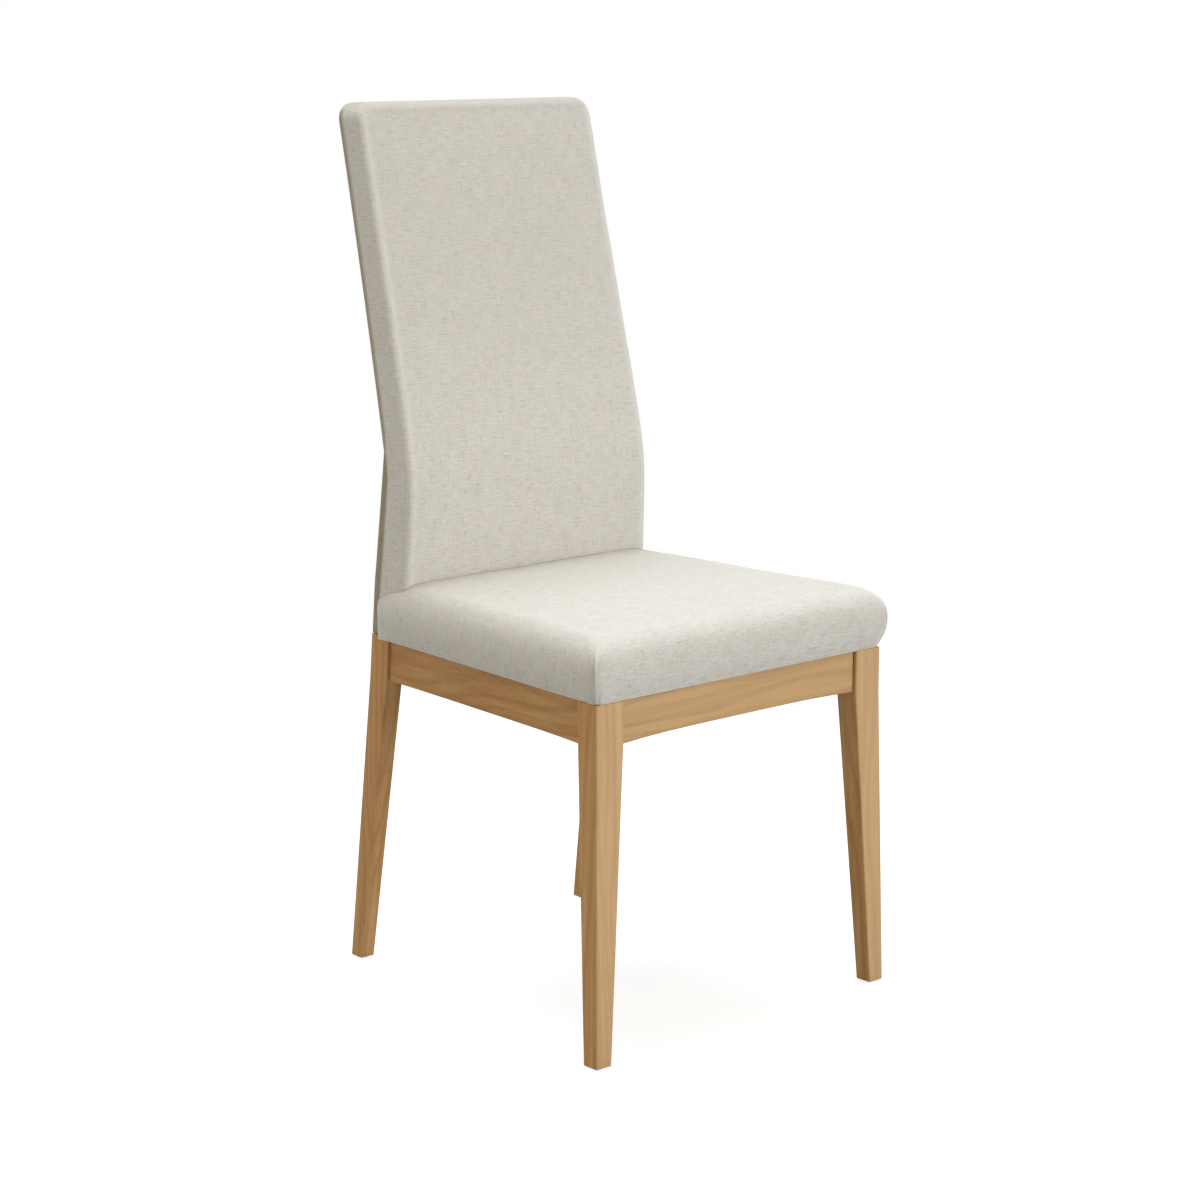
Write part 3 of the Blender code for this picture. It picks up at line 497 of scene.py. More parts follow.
def swell(piece, pinned, freedom):
    """Give a form the swelling of its stuffed copy, with no point moved further than SWELL or SINK."""
    start, outward = stuffed(piece, pinned)
    outward *= SWELL / max(np.percentile(outward, SWELL_RANK), SWELL)
    kept = np.where(outward > 0, SWELL * np.tanh(outward / SWELL), -SINK * np.tanh(-outward / SINK))
    tree = KDTree(len(start))
    for i, point in enumerate(start):
        tree.insert(point, i)
    tree.balance()
    places = positions(piece.data)
    normals = vertex_normals(piece.data)
    for i, point in enumerate(places):
        share = freedom(*point)
        if share > 0.0:
            near = tree.find_n(point, NEAREST)
            weights = np.array([exp(-(gap / BLEND) ** 2) for place, j, gap in near])
            moved = np.dot(weights, kept[[j for place, j, gap in near]]) / weights.sum()
            places[i] += normals[i] * (moved * share)
    set_positions(piece.data, places)


def unevenness(piece, amount, size, where):
    """The slight waves of stuffed cloth, along the normals."""
    normals = vertex_normals(piece.data)
    places = positions(piece.data)
    for i, point in enumerate(places):
        wave = noise.noise(Vector(point) / size) + FINER_SHARE * noise.noise(Vector(point) / size * FINER)
        places[i] += normals[i] * (amount * wave * where(*point))
    set_positions(piece.data, places)


def grown(piece, amount):
    """A copy of a closed form that stands out from it by an amount, to cut its neighbours with."""
    copy = new_object(piece.name + "_room", piece.data.copy())
    set_positions(copy.data, positions(copy.data) + vertex_normals(copy.data) * amount)
    return copy


def mark(piece, name, share_at):
    """Note at each point how strongly one change of the cloth's colour shows there. Above 1 it shows more."""
    layer = piece.data.attributes.new(name, "FLOAT", "POINT")
    layer.data.foreach_set("value", [share_at(*point) for point in positions(piece.data)])


def lay_weave(piece, chart):
    """Give each face corner its place on the cloth, in metres along weft and warp."""
    mesh = piece.data
    layer = mesh.uv_layers.new(name="weave")
    flat = np.zeros((len(mesh.loops), 2), np.float32)
    places = positions(mesh)
    for face in mesh.polygons:
        normal = face.normal
        for corner in face.loop_indices:
            flat[corner] = chart(*places[mesh.loops[corner].vertex_index], normal)
    layer.data.foreach_set("uv", flat.ravel())


TURN_START = 0.001           # the cloth counts as turned down from here below the edge of the seat
SIDE_START = 0.0005          # and as turned back from here behind the front of the back
FACING = 0.6                 # a face looks one way when its normal has more than this of it
SIDE_FACING = 0.7
SHADED_FACING = 0.75
TOP_BAND = 0.02


def seat_chart(x, y, z, normal):
    fall = max(0.0, SEAT_EDGE_TOP - TURN_START - z)
    if abs(normal.x) > abs(normal.y):
        return x + copysign(fall, x), y
    return x, y + copysign(fall, normal.y)


def back_chart(x, y, z, normal):
    depth = max(0.0, y - back_front(z) - SIDE_START)
    climb = z * BACK_SLANT
    if normal.y > FACING and z < BACK_TOP - TOP_BAND:
        return copysign(2 * back_half(z) - abs(x), x), climb
    if normal.z > FACING and z > BACK_TOP - TOP_BAND:
        return x, climb + depth
    return x + copysign(depth, x), climb


# Materials

class Value:
    """A socket of a node tree on which ordinary arithmetic adds Math nodes."""

    def __init__(self, finish, socket):
        self.finish = finish
        self.socket = socket

    def math(self, operation, other=None, swap=False):
        pair = [other, self] if swap else [self, other]
        fed = {i: value for i, value in enumerate(pair) if value is not None}
        return self.finish.node("Math", {"operation": operation}, fed)

    def __add__(self, other):
        return self.math("ADD", other)

    def __sub__(self, other):
        return self.math("SUBTRACT", other)

    def __rsub__(self, other):
        return self.math("SUBTRACT", other, swap=True)

    def __mul__(self, other):
        return self.math("MULTIPLY", other)

    __radd__ = __add__
    __rmul__ = __mul__

    def sin(self):
        return self.math("SINE")

    def abs(self):
        return self.math("ABSOLUTE")

    def over(self, low, high):
        """0 below low, 1 above high, smooth between."""
        fed = {"Value": self, "From Min": low, "From Max": high, "To Min": 0.0, "To Max": 1.0}
        return self.finish.node("MapRange", {"interpolation_type": "SMOOTHSTEP"}, fed)

    def highest(self, other):
        return self.math("MAXIMUM", other)


class Finish:
    """A procedural material or world. Constants are set on its shader, and done() takes what varies."""

    def __init__(self, name, kind="materials", shader="Principled BSDF", **constants):
        self.material = getattr(bpy.data, kind).new(name)
        self.material.use_nodes = True
        self.tree = self.material.node_tree
        self.shader = self.tree.nodes[shader]
        for key, value in constants.items():
            self.shader.inputs[key.replace("_", " ")].default_value = value

    def feed(self, socket, value):
        if isinstance(value, Value):
            self.tree.links.new(value.socket, socket)
        elif isinstance(value, (tuple, list)) and len(value) == 3 and socket.type == "RGBA":
            socket.default_value = (*value, 1.0)
        else:
            socket.default_value = value

    def node(self, kind, settings=None, fed=None, out=0):
        made = self.tree.nodes.new("ShaderNode" + kind)
        for key, value in (settings or {}).items():
            setattr(made, key, value)
        for key, value in (fed or {}).items():
            self.feed(made.inputs[key], value)
        return Value(self, made.outputs[out])

    def place(self):
        return self.node("TexCoord", out="Object")

    def cloth_place(self):
        return self.node("UVMap", {"uv_map": "weave"})

    def marked(self, name):
        return self.node("Attribute", {"attribute_name": name}, out="Fac")

    def parts(self, vector):
        split = self.node("SeparateXYZ", {}, {0: vector})
        return [Value(self, socket) for socket in split.socket.node.outputs]

    def join(self, x, y, z):
        return self.node("CombineXYZ", {}, {0: x, 1: y, 2: z})

    def stretch(self, vector, sizes, shift=(0.0, 0.0, 0.0)):
        """Scale a place so that one unit is the given size along each axis."""
        factors = [1 / size for size in sizes]
        scaled = self.node("VectorMath", {"operation": "MULTIPLY"}, {0: vector, 1: factors})
        return self.node("VectorMath", {"operation": "ADD"}, {0: scaled, 1: shift})

    def noise(self, vector, sizes, shift=(0.0, 0.0, 0.0), detail=2.0, roughness=0.5):
        place = self.stretch(vector, sizes, shift)
        fed = {"Vector": place, "Scale": 1.0, "Detail": detail, "Roughness": roughness}
        return self.node("TexNoise", {"noise_dimensions": "3D"}, fed)

    def crevice(self, reach):
        """1 deep in a joint, 0 on an open face."""
        return 1 - self.node("AmbientOcclusion", {"samples": 8}, {"Distance": reach}, "AO")

    def mix(self, share, first, second):
        return self.node("Mix", {"data_type": "RGBA"}, {0: share, 6: first, 7: second}, out=2)

    def tints(self, colour, *layers):
        """Lay tints over a colour: for each the pattern, its low and high, the strength and the tint."""
        for pattern, low, high, strength, tint in layers:
            colour = self.mix(pattern.over(low, high) * strength, colour, tint)
        return colour

    def paint(self, socket, value):
        self.feed(self.shader.inputs[socket], value)

    def done(self, colour, height, depth, strength, roughness=None):
        """Feed in the colour, the relief and, where it varies, the roughness, and give the material."""
        self.paint("Base Color", colour)
        if roughness is not None:
            self.paint("Roughness", roughness)
        bump = self.node("Bump", {}, {"Strength": strength, "Distance": depth, "Height": height})
        self.paint("Normal", bump)
        return self.material


def srgb(text):
    """Colour written as in a paint chart, as linear light."""
    made = []
    for i in (0, 2, 4):
        part = int(text[i:i + 2], 16) / 255
        made.append(part / 12.92 if part <= 0.04045 else ((part + 0.055) / 1.055) ** 2.4)
    return tuple(made)


def colours(*texts):
    return [srgb(text) for text in texts]


# Sizes in the finishes
WARP_PITCH = 0.00135
WEFT_PITCH = 0.00125
WARP_WANDER = 0.0011
WEFT_WANDER = 0.0009
WANDER_SIZE = 0.011
WEAVE_DEPTH = 0.00042
RING_PITCH = 0.0118
RING_DRIFT = 0.052
RING_TILT = (0.83, 0.56)
WORN_EDGE = 0.0016
JOINT_REACH = 0.0030
FOAM_CELL = 0.0016
DOT_PITCH = 0.0016
SCUFF_HEIGHT = 0.0006
GRAIN_ORDER = {"x": (0, 1, 2), "y": (1, 0, 2), "z": (2, 0, 1)}


def tweed(name, ground, pale, grey, pink, green, soil, rear_shade_colour):
    """Heathered plain weave: uneven threads, slubs both ways and faint coloured flecks."""
    f = Finish(name, Roughness=0.93, Sheen_Weight=0.26, Sheen_Roughness=0.45, Specular_IOR_Level=0.18)
    place = f.cloth_place()
    wander = f.noise(place, (WANDER_SIZE, WANDER_SIZE, 1.0), detail=1.0) - 0.5
    u, v, _ = f.parts(place)
    warp = (u + wander * WARP_WANDER) * (pi / WARP_PITCH)
    weft = (v + wander * WEFT_WANDER) * (pi / WEFT_PITCH)
    warp_wave = warp.sin()
    weft_wave = weft.sin()
    crossing = warp_wave * weft_wave
    threads = (warp_wave.abs() * (crossing * 0.5 + 0.5)).highest(weft_wave.abs() * (0.5 - crossing * 0.5))

    crosswise = f.noise(place, (0.016, 0.00175, 1.0), roughness=0.6)
    lengthwise = f.noise(place, (0.00190, 0.019, 1.0), (7.3, 2.1, 0.0), roughness=0.6)
    specks = f.noise(place, (0.0021, 0.0019, 1.0), (3.7, 9.2, 0.0), detail=1.0)
    clouds = f.noise(place, (0.030, 0.024, 1.0), (1.3, 4.4, 0.0), detail=3.0, roughness=0.6)
    blush = f.noise(place, (0.034, 0.026, 1.0), (5.1, 6.6, 0.0), detail=3.0, roughness=0.55)
    moss = f.noise(place, (0.028, 0.036, 1.0), (8.9, 3.3, 0.0), detail=3.0, roughness=0.55)

    colour = f.tints(
        ground,
        (clouds, 0.38, 0.66, 0.12, pale), (blush, 0.45, 0.62, 0.40, pink), (moss, 0.47, 0.64, 0.38, green),
        (crosswise, 0.52, 0.68, 0.42, grey), (lengthwise, 0.54, 0.70, 0.40, grey),
        (1 - crosswise, 0.54, 0.70, 0.46, pale), (specks, 0.61, 0.75, 0.42, soil),
        (1 - threads, 0.15, 0.95, 0.30, grey))
    # Painted shade: the cloth is greyed high up on the back, over its top edge and beside the seat's sewn
    # front corners.
    colour = f.mix(f.marked("upper") * 0.25, colour, grey)
    # Painted highlight: paler cloth along the seat's sewn front corners, along its rear end and along the
    # back's front edges.
    colour = f.mix(f.marked("fold") * 0.85, colour, pale)
    # Painted shade: darker cloth along the rear edges of the back's sides.
    colour = f.mix(f.marked("tuck") * (0.80 + specks * 0.4), colour, rear_shade_colour)
    slubs = crosswise.over(0.5, 0.75) + lengthwise.over(0.5, 0.75)
    return f.done(colour, threads + slubs * 0.55 + specks * 0.35, WEAVE_DEPTH, 0.85)


def oak(name, along, seed, light, mid, dark, pore, painted_front_light):
    """Oiled oak with the grain along one axis: growth rings, fine fibre, pores and darker end grain."""
    f = Finish(name, Specular_IOR_Level=0.22)
    axes = f.parts(f.place())
    order = GRAIN_ORDER[along]
    run, a, b = (axes[i] for i in order)
    grain = f.join(run, a, b)
    drift = f.noise(grain, (0.42, 0.050, 0.050), (seed, 0.0, 0.0))
    depth = a * RING_TILT[0] + b * RING_TILT[1] + drift * RING_DRIFT
    rings = (depth * (2 * pi / RING_PITCH)).sin() * 0.5 + 0.5
    figure = f.noise(grain, (0.30, 0.011, 0.011), (seed * 1.7, 0.0, 0.0), detail=4.0, roughness=0.6)
    fibre = f.noise(grain, (0.055, 0.0011, 0.0011), (seed * 2.3, 0.0, 0.0), detail=3.0)
    pores = f.noise(grain, (0.0075, 0.00042, 0.00042), (seed * 3.1, 0.0, 0.0), detail=1.0)
    pits = pores.over(0.62, 0.72) * rings.over(0.25, 0.85)
    colour = f.mix(figure.over(0.30, 0.70), mid, light)
    colour = f.tints(colour, (rings, 0.45, 1.0, 0.26, dark), (fibre, 0.42, 0.66, 0.20, dark))
    colour = f.mix(pits * 0.45, colour, pore)
    facing = f.parts(f.node("TexCoord", out="Normal"))
    # Painted light: faces turned to the front or rear are made lighter, as far as the piece's share says.
    colour = f.mix(facing[1].abs().over(0.45, 0.85) * painted_front_light, colour, OAK_PAINTED_LIGHT)
    colour = f.mix(facing[order[0]].abs().over(0.80, 0.97) * 0.45, colour, dark)
    soft = f.node("Bevel", {"samples": 4}, {"Radius": WORN_EDGE})
    true = f.node("NewGeometry", out="Normal")
    even = f.node("VectorMath", {"operation": "DOT_PRODUCT"}, {0: soft, 1: true}, "Value")
    worn = (1 - even).over(0.02, 0.20)
    colour = f.mix(worn * (figure * 0.5 + 0.15), colour, light)
    # Painted shade and dirt: the oak darkens deep in its joints, where ambient occlusion finds them.
    joint = f.crevice(JOINT_REACH).over(0.45, 0.95) * 0.75
    colour = f.mix(joint, colour, OAK_JOINT_SHADE_AND_DIRT)
    return f.done(colour, fibre * 0.4 - pits - rings * 0.25, 0.00012, 0.7, 0.47 + figure * 0.12 + pits * 0.2)


def plain_wood(name, along, seed, light, dark, fleck):
    """Bare close-grained wood with short flecks."""
    f = Finish(name, Specular_IOR_Level=0.35)
    axes = f.parts(f.place())
    grain = f.join(*(axes[i] for i in GRAIN_ORDER[along]))
    figure = f.noise(grain, (0.22, 0.010, 0.010), (seed, 0.0, 0.0), detail=4.0)
    dashes = f.noise(grain, (0.0035, 0.0007, 0.0007), (seed * 2.0, 0.0, 0.0), detail=1.0)
    flecks = dashes.over(0.60, 0.70)
    colour = f.mix(figure.over(0.3, 0.7), light, dark)
    colour = f.mix(flecks * 0.5, colour, fleck)
    return f.done(colour, figure * 0.5 - flecks * 0.4, 0.00015, 0.6, 0.60 + figure * 0.12)


def plywood(name, layer, thickness, light, dark, glue):
    """Birch plywood: a quiet face, and thin glued layers across the direction given."""
    f = Finish(name, Specular_IOR_Level=0.35)
    place = f.place()
    axes = f.parts(place)
    figure = f.noise(place, (0.012, 0.25, 0.25), (3.0, 1.0, 2.0), detail=4.0)
    stack = (axes[layer] * (pi / thickness)).sin().abs()
    facing = f.parts(f.node("TexCoord", out="Normal"))[layer].abs()
    edge = 1 - facing.over(0.3, 0.8)
    colour = f.mix(figure.over(0.3, 0.7), light, dark)
    colour = f.mix(stack.over(0.55, 0.2) * edge, colour, glue)
    return f.done(colour, figure + stack * edge, 0.0001, 0.5, 0.62 + figure * 0.1)


def fibreboard(name, ground, fleck):
    f = Finish(name, Specular_IOR_Level=0.3)
    fibres = f.noise(f.place(), (0.0016,) * 3, detail=4.0, roughness=0.7)
    return f.done(f.mix(fibres.over(0.45, 0.7) * 0.7, ground, fleck), fibres, 0.0002, 0.6, 0.7 + fibres * 0.2)


def foam(name, ground, cell):
    f = Finish(name, Roughness=0.95, Specular_IOR_Level=0.1)
    place = f.place()
    cells = f.stretch(place, (FOAM_CELL,) * 3)
    pits = f.node("TexVoronoi", {"feature": "F1"}, {"Vector": cells, "Scale": 1.0})
    clouds = f.noise(place, (0.04,) * 3)
    colour = f.mix((1 - pits).over(0.45, 0.9) * 0.5, ground, cell)
    return f.done(f.mix(clouds.over(0.4, 0.7) * 0.25, colour, cell), pits, 0.0005, 0.8)


def spun_cloth(name, ground, fibre):
    """Thin spun cloth under the seat, with its grid of bonded dots."""
    f = Finish(name, Roughness=0.95, Specular_IOR_Level=0.15, Sheen_Weight=0.1)
    place = f.cloth_place()
    u, v, _ = f.parts(place)
    dots = (u * (pi / DOT_PITCH)).sin().abs() * (v * (pi / DOT_PITCH)).sin().abs()
    fibres = f.noise(place, (0.005, 0.0009, 1.0), detail=4.0, roughness=0.7)
    colour = f.mix(fibres.over(0.45, 0.75) * 0.6, ground, fibre)
    return f.done(colour, fibres * 0.6 - dots.over(0.7, 0.9), 0.0002, 0.7)


def plated_steel(name, bright, dull):
    f = Finish(name, Metallic=1.0)
    place = f.place()
    clouds = f.noise(place, (0.0025,) * 3, detail=3.0)
    scratches = f.noise(place, (0.0002, 0.0002, 0.004))
    colour = f.mix(clouds.over(0.35, 0.7), bright, dull)
    return f.done(colour, scratches, 0.00003, 0.5, 0.26 + clouds * 0.2 + scratches * 0.1)


def nylon(name, ground, worn):
    f = Finish(name, Specular_IOR_Level=0.45)
    place = f.place()
    grain = f.noise(place, (0.0006,) * 3, detail=3.0)
    height = f.parts(place)[2]
    scuffed = (1 - height.over(0.0, SCUFF_HEIGHT)) * grain.over(0.4, 0.6)
    return f.done(f.mix(scuffed * 0.7, ground, worn), grain, 0.00006, 0.6, 0.42 + grain * 0.2 + scuffed * 0.2)


OAK_COLOURS = colours("CEA472", "BD8F5B", "9E703F", "7A5229")
# Darker oak for the aprons: partly painted shade, standing for the shade of the seat above them.
APRON_SHADED_COLOURS = colours("C79C68", "B48551", "956839", "734C26")
# A lighter oak painted on front and rear faces as painted light, and a dark brown for painted shade and dirt
# in the joints.
OAK_PAINTED_LIGHT, OAK_JOINT_SHADE_AND_DIRT = colours("D8BF98", "54330F")
BEECH_COLOURS = colours("D9B88C", "C49A6C", "A2764C")
PLY_COLOURS = colours("DDC39A", "CCAE81", "6F5132")
# The last colour given to each tweed is its painted shade for the back's rear edges.
TWEED = tweed("heathered_tweed", *colours(
    "DCDAD2", "EDECE7", "B6B0A6", "E2D5CB", "D3D8CC", "8F877C", "908465"))
# A darker copy of the tweed as painted shade, for the strip of outside back that shows behind the cushion
# below the bend.
TWEED_PAINTED_SHADE = tweed("olive_tweed", *colours(
    "A89C82", "BAB098", "877B64", "AA9079", "999376", "6A604B", "6A604B"))
FOAM = foam("cut_foam", *colours("E9E2C9", "CFC5A4"))
SPUN = spun_cloth("black_spun_cloth", *colours("1B1B1C", "3A3A3B"))
STEEL = plated_steel("zinc_plate", *colours("C9C8C2", "A3A29C"))
NYLON = nylon("brown_nylon", *colours("3A2A20", "6B5B4E"))

# Node, axis of its grain, seed and how much painted light lightens its front and rear faces
LEGS = (("front_leg_left", "z", 1.3, 0.34), ("front_leg_right", "z", 4.1, 0.34),
        ("rear_post_left", "z", 7.9, 0.0), ("rear_post_right", "z", 10.6, 0.0))
APRONS = (("front_apron", "x", 13.2, 0.26), ("rear_apron", "x", 16.8, 0.0),
          ("side_apron_left", "y", 19.5, 0.0), ("side_apron_right", "y", 22.4, 0.0))
BEECH = (("dowel_side", "dowels_lengthwise", "y", 2.2), ("dowel", "dowels_crosswise", "x", 5.2),
         ("corner_block", "corner_blocks", "x", 8.2), ("back_lower_rail", "lower_rail", "x", 3.3),
         ("back_middle_rail", "middle_rail", "x", 6.3), ("back_top_rail", "top_rail", "x", 9.3))
NODE_FINISHES = {
    "seat_board": plywood("plywood_seat_board", 2, 0.0015, *PLY_COLOURS),
    "back_board": plywood("plywood_back_board", 1, 0.0013, *PLY_COLOURS),
    "outside_back_board": fibreboard("hard_fibreboard", *colours("7A5C40", "94765A")),
    "block_screw": STEEL,
    "seat_screw": STEEL,
    "glide": NYLON,
}
# The last column of each row is the share of painted light on front and rear faces.
for rows, tones in ((LEGS, OAK_COLOURS), (APRONS, APRON_SHADED_COLOURS)):
    for node, along, seed, flat in rows:
        NODE_FINISHES[node] = oak("oak_" + node, along, seed, *tones, flat)
for node, name, along, seed in BEECH:
    NODE_FINISHES[node] = plain_wood("beech_" + name, along, seed, *BEECH_COLOURS)


def finish_nodes():
    """Each node of the frame takes the finish whose name it starts with, the longest one first."""
    for name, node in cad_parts.items():
        found = [key for key in sorted(NODE_FINISHES, key=len) if name.startswith(key)]
        if found:
            for place in node.material_slots:
                place.link = "OBJECT"
                place.material = NODE_FINISHES[found[-1]]


# Pieces

def dress(piece, material, node, angle=40):
    """Give a finished piece its shading and finish, and hide the node of the frame that it takes the place
    of.
    """
    piece.data.shade_smooth()
    piece.data.set_sharp_from_angle(angle=radians(angle))
    piece.data.materials.clear()
    piece.data.materials.append(material)
    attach(piece, "root")
    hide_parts(node)


# Zones of the covers, each measured from the edge that its function names
HEM_HELD = (0.002, 0.018)
REAR_CORNER_DEPTH = (-0.045, -0.012)
REAR_CORNER_WIDTH = (-0.030, 0.0)
FRONT_CORNER_HELD = (-0.045, 0.0)
FRONT_CORNER_SHARE = 0.7
SEAM_REACH = 0.02
SEAM_FADE = (-0.018, -0.004)
SHADE_REACH = 0.03
SHADE_STRENGTH = 1.5
SHADE_START = 0.001
SHADE_WIDTH = 0.014
SHADE_FADE = (-0.022, -0.006)
REAR_HIGHLIGHT = (-0.0055, -0.0025)
REAR_HIGHLIGHT_STRENGTH = 0.5
REAR_EDGE_HELD = (-0.022, -0.010)
TOP_HELD = (-0.014, -0.003)
FRONT_HIGHLIGHT_IN = (0.002, 0.006)
FRONT_HIGHLIGHT_OUT = (0.010, 0.016)
FRONT_HIGHLIGHT_STRENGTH = 0.35
TONE_SIDE = (-0.012, -0.004)
TONE_RISE = (0.56, 0.88)
TONE_STRENGTH = 0.9
TOP_TONE = (-0.014, -0.001)
TOP_TONE_STRENGTH = 1.2
REAR_SHADE_SIDE = (-0.006, -0.003)
REAR_SHADE_BEND = (-0.030, 0.010)
REAR_SHADE_START, REAR_SHADE_START_GAIN = 0.0068, 0.0055
REAR_SHADE_END, REAR_SHADE_END_GAIN = 0.0010, 0.0042
REAR_SHADE_STRENGTH, REAR_SHADE_LOSS = 0.85, 0.13
REAR_SHADE_FOOT = 0.475


def beside(value, edge, zone):
    """0 before a zone beside an edge, 1 after it, smooth between."""
    return ramp(value, edge + zone[0], edge + zone[1])


def seat_freedom(x, y, z):
    """0 where the seat's cover is pulled tight, at its hem and upright corners, and 1 on the cushion."""
    rear_corner = beside(y, SEAT_END, REAR_CORNER_DEPTH) * beside(abs(x), SEAT_END_HALF, REAR_CORNER_WIDTH)
    front_corner = beside(abs(x) - y, FRONT_HALF - FRAME_FRONT_Y, FRONT_CORNER_HELD)
    return beside(z, SEAT_LOW, HEM_HELD) * (1 - rear_corner) * (1 - FRONT_CORNER_SHARE * front_corner)


def past_corner(x, y):
    """How far a point lies to the side of the sewn front corner, and less than 0 on the front."""
    return ((abs(x) - side_line(FRAME_FRONT_Y)) + (y - FRAME_FRONT_Y)) / sqrt(2)


def corner_seam(x, y, z):
    """1 along the sewn corners at the front of the seat, fading out over its top edge."""
    off = abs(past_corner(x, y))
    if y > FRAME_FRONT_Y + SEAM_REACH or off > SEAM_WIDTH:
        return 0.0
    return (1 - (off / SEAM_WIDTH) ** 2) * (1 - beside(z, SEAT_EDGE_TOP, SEAM_FADE))


def painted_seam_shade(x, y, z):
    """Painted shade: the side cloth is darker just beside where it is sewn to the front, so the corner reads
    as a crisp line.
    """
    off = past_corner(x, y)
    if off < 0 or y > FRAME_FRONT_Y + SHADE_REACH:
        return 0.0
    band = SHADE_STRENGTH * ramp(off, 0.0, SHADE_START) * (1 - ramp(off, SHADE_START, SHADE_WIDTH))
    return band * (1 - beside(z, SEAT_EDGE_TOP, SHADE_FADE))


def seat_painted_highlight(x, y, z):
    """Painted highlight: paler cloth on the sewn front corners of the seat and along its rear end."""
    return max(corner_seam(x, y, z), REAR_HIGHLIGHT_STRENGTH * beside(y, SEAT_END, REAR_HIGHLIGHT))


def back_freedom(x, y, z):
    """0 where the cover is pulled hard over the rear edges and the top of the back, 1 on its cushion."""
    return (1 - beside(y, cushion_rear(z), REAR_EDGE_HELD)) * (1 - beside(z, BACK_TOP, TOP_HELD))


def front_painted_highlight(x, y, z):
    """Painted highlight: a paler band of cloth along the front edges of the back."""
    band = back_half(z) - abs(x)
    fold = FRONT_HIGHLIGHT_STRENGTH * ramp(band, *FRONT_HIGHLIGHT_IN) * (1 - ramp(band, *FRONT_HIGHLIGHT_OUT))
    return fold * (1 - ramp(y, back_front(z), middle_depth(z)))


def painted_upper_shade(x, y, z):
    """Painted shade: the front is a little darker high up on the back, and the cloth more so over its top
    edge.
    """
    side = beside(abs(x), back_half(z), TONE_SIDE)
    return (TONE_STRENGTH * (1 - side) * ramp(z, *TONE_RISE)
            + TOP_TONE_STRENGTH * beside(z, BACK_TOP, TOP_TONE))


def painted_rear_shade_share(x, y, z):
    """Painted shade: darker cloth where the sides of the back turn in behind, narrower below the bend of the
    posts.
    """
    above = beside(z, POST_BEND_Z, REAR_SHADE_BEND)
    zone = (-(REAR_SHADE_START + REAR_SHADE_START_GAIN * above), -(REAR_SHADE_END + REAR_SHADE_END_GAIN * above))
    share = (REAR_SHADE_STRENGTH - REAR_SHADE_LOSS * above) * beside(y, cushion_rear(z), zone)
    return beside(abs(x), back_half(z), REAR_SHADE_SIDE) * share * ramp(z, SEAT_BELLY_Z, REAR_SHADE_FOOT)


def seat_inner(inset, low):
    """The hollow of the seat cover, with its opening underneath inside the hem."""
    shaft = [hem_ring(z) for z in (FRAME_TOP - SHAFT_SPARE, BOARD_BOTTOM - GAP)]
    wide = [seat_ring(0.0, inset, BOARD_BOTTOM - GAP + STEP_RISE)]
    return loft("seat_hollow", shaft + wide + seat_rings(inset, low)[1:])


def seat_pieces():
    """The seat's cover and pad, and the two forms that the back is cut with where it stands on them."""
    cover = loft("seat_cover_cloth", seat_rings(START_INSET, SEAT_LOW - SEAT_SPARE, fine=True))
    swell(cover, lambda x, y, z: z < SEAT_LOW + PINNED_HEM, seat_freedom)
    unevenness(cover, *SEAT_WAVES, seat_freedom)
    rooms = [grown(cover, GAP), grown(cover, 2 * GAP)]
    places = positions(cover.data)
    ridge = np.array([corner_seam(*point) for point in places])
    set_positions(cover.data, places + vertex_normals(cover.data) * ridge[:, None] * SEAM_HEIGHT)
    below = bent_block("below", (CUT_FROM, SEAT_LOW),
                       lambda z: -FAR, lambda z: FAR, lambda z: -FAR, lambda z: FAR)
    carve(cover, below, seat_inner(WADDING, BOARD_BOTTOM), post_room(1), post_room(-1))
    largest_body(cover)
    lay_weave(cover, seat_chart)
    mark(cover, "fold", seat_painted_highlight)
    mark(cover, "upper", painted_seam_shade)
    dress(cover, TWEED, "seat_cover")

    pad = loft("seat_foam_pad", seat_rings(WADDING + GAP, BOARD_TOP + GAP))
    carve(pad, post_room(1), post_room(-1))
    dress(pad, FOAM, "seat_foam")
    return rooms


def middle_depth(z):
    return (back_front(z) + back_rear(z)) / 2


def back_slot(half, front, top):
    """Cutter that follows the bend of the back, from the curve front(z) out to the rear."""
    return bent_block("slot", heights(FRAME_TOP, top, 40), lambda z: -half(z), half, front, lambda z: FAR)


def back_held(x, y, z):
    return z < BACK_BOTTOM + PINNED_FOOT or y > back_rear(z) - PINNED_REAR


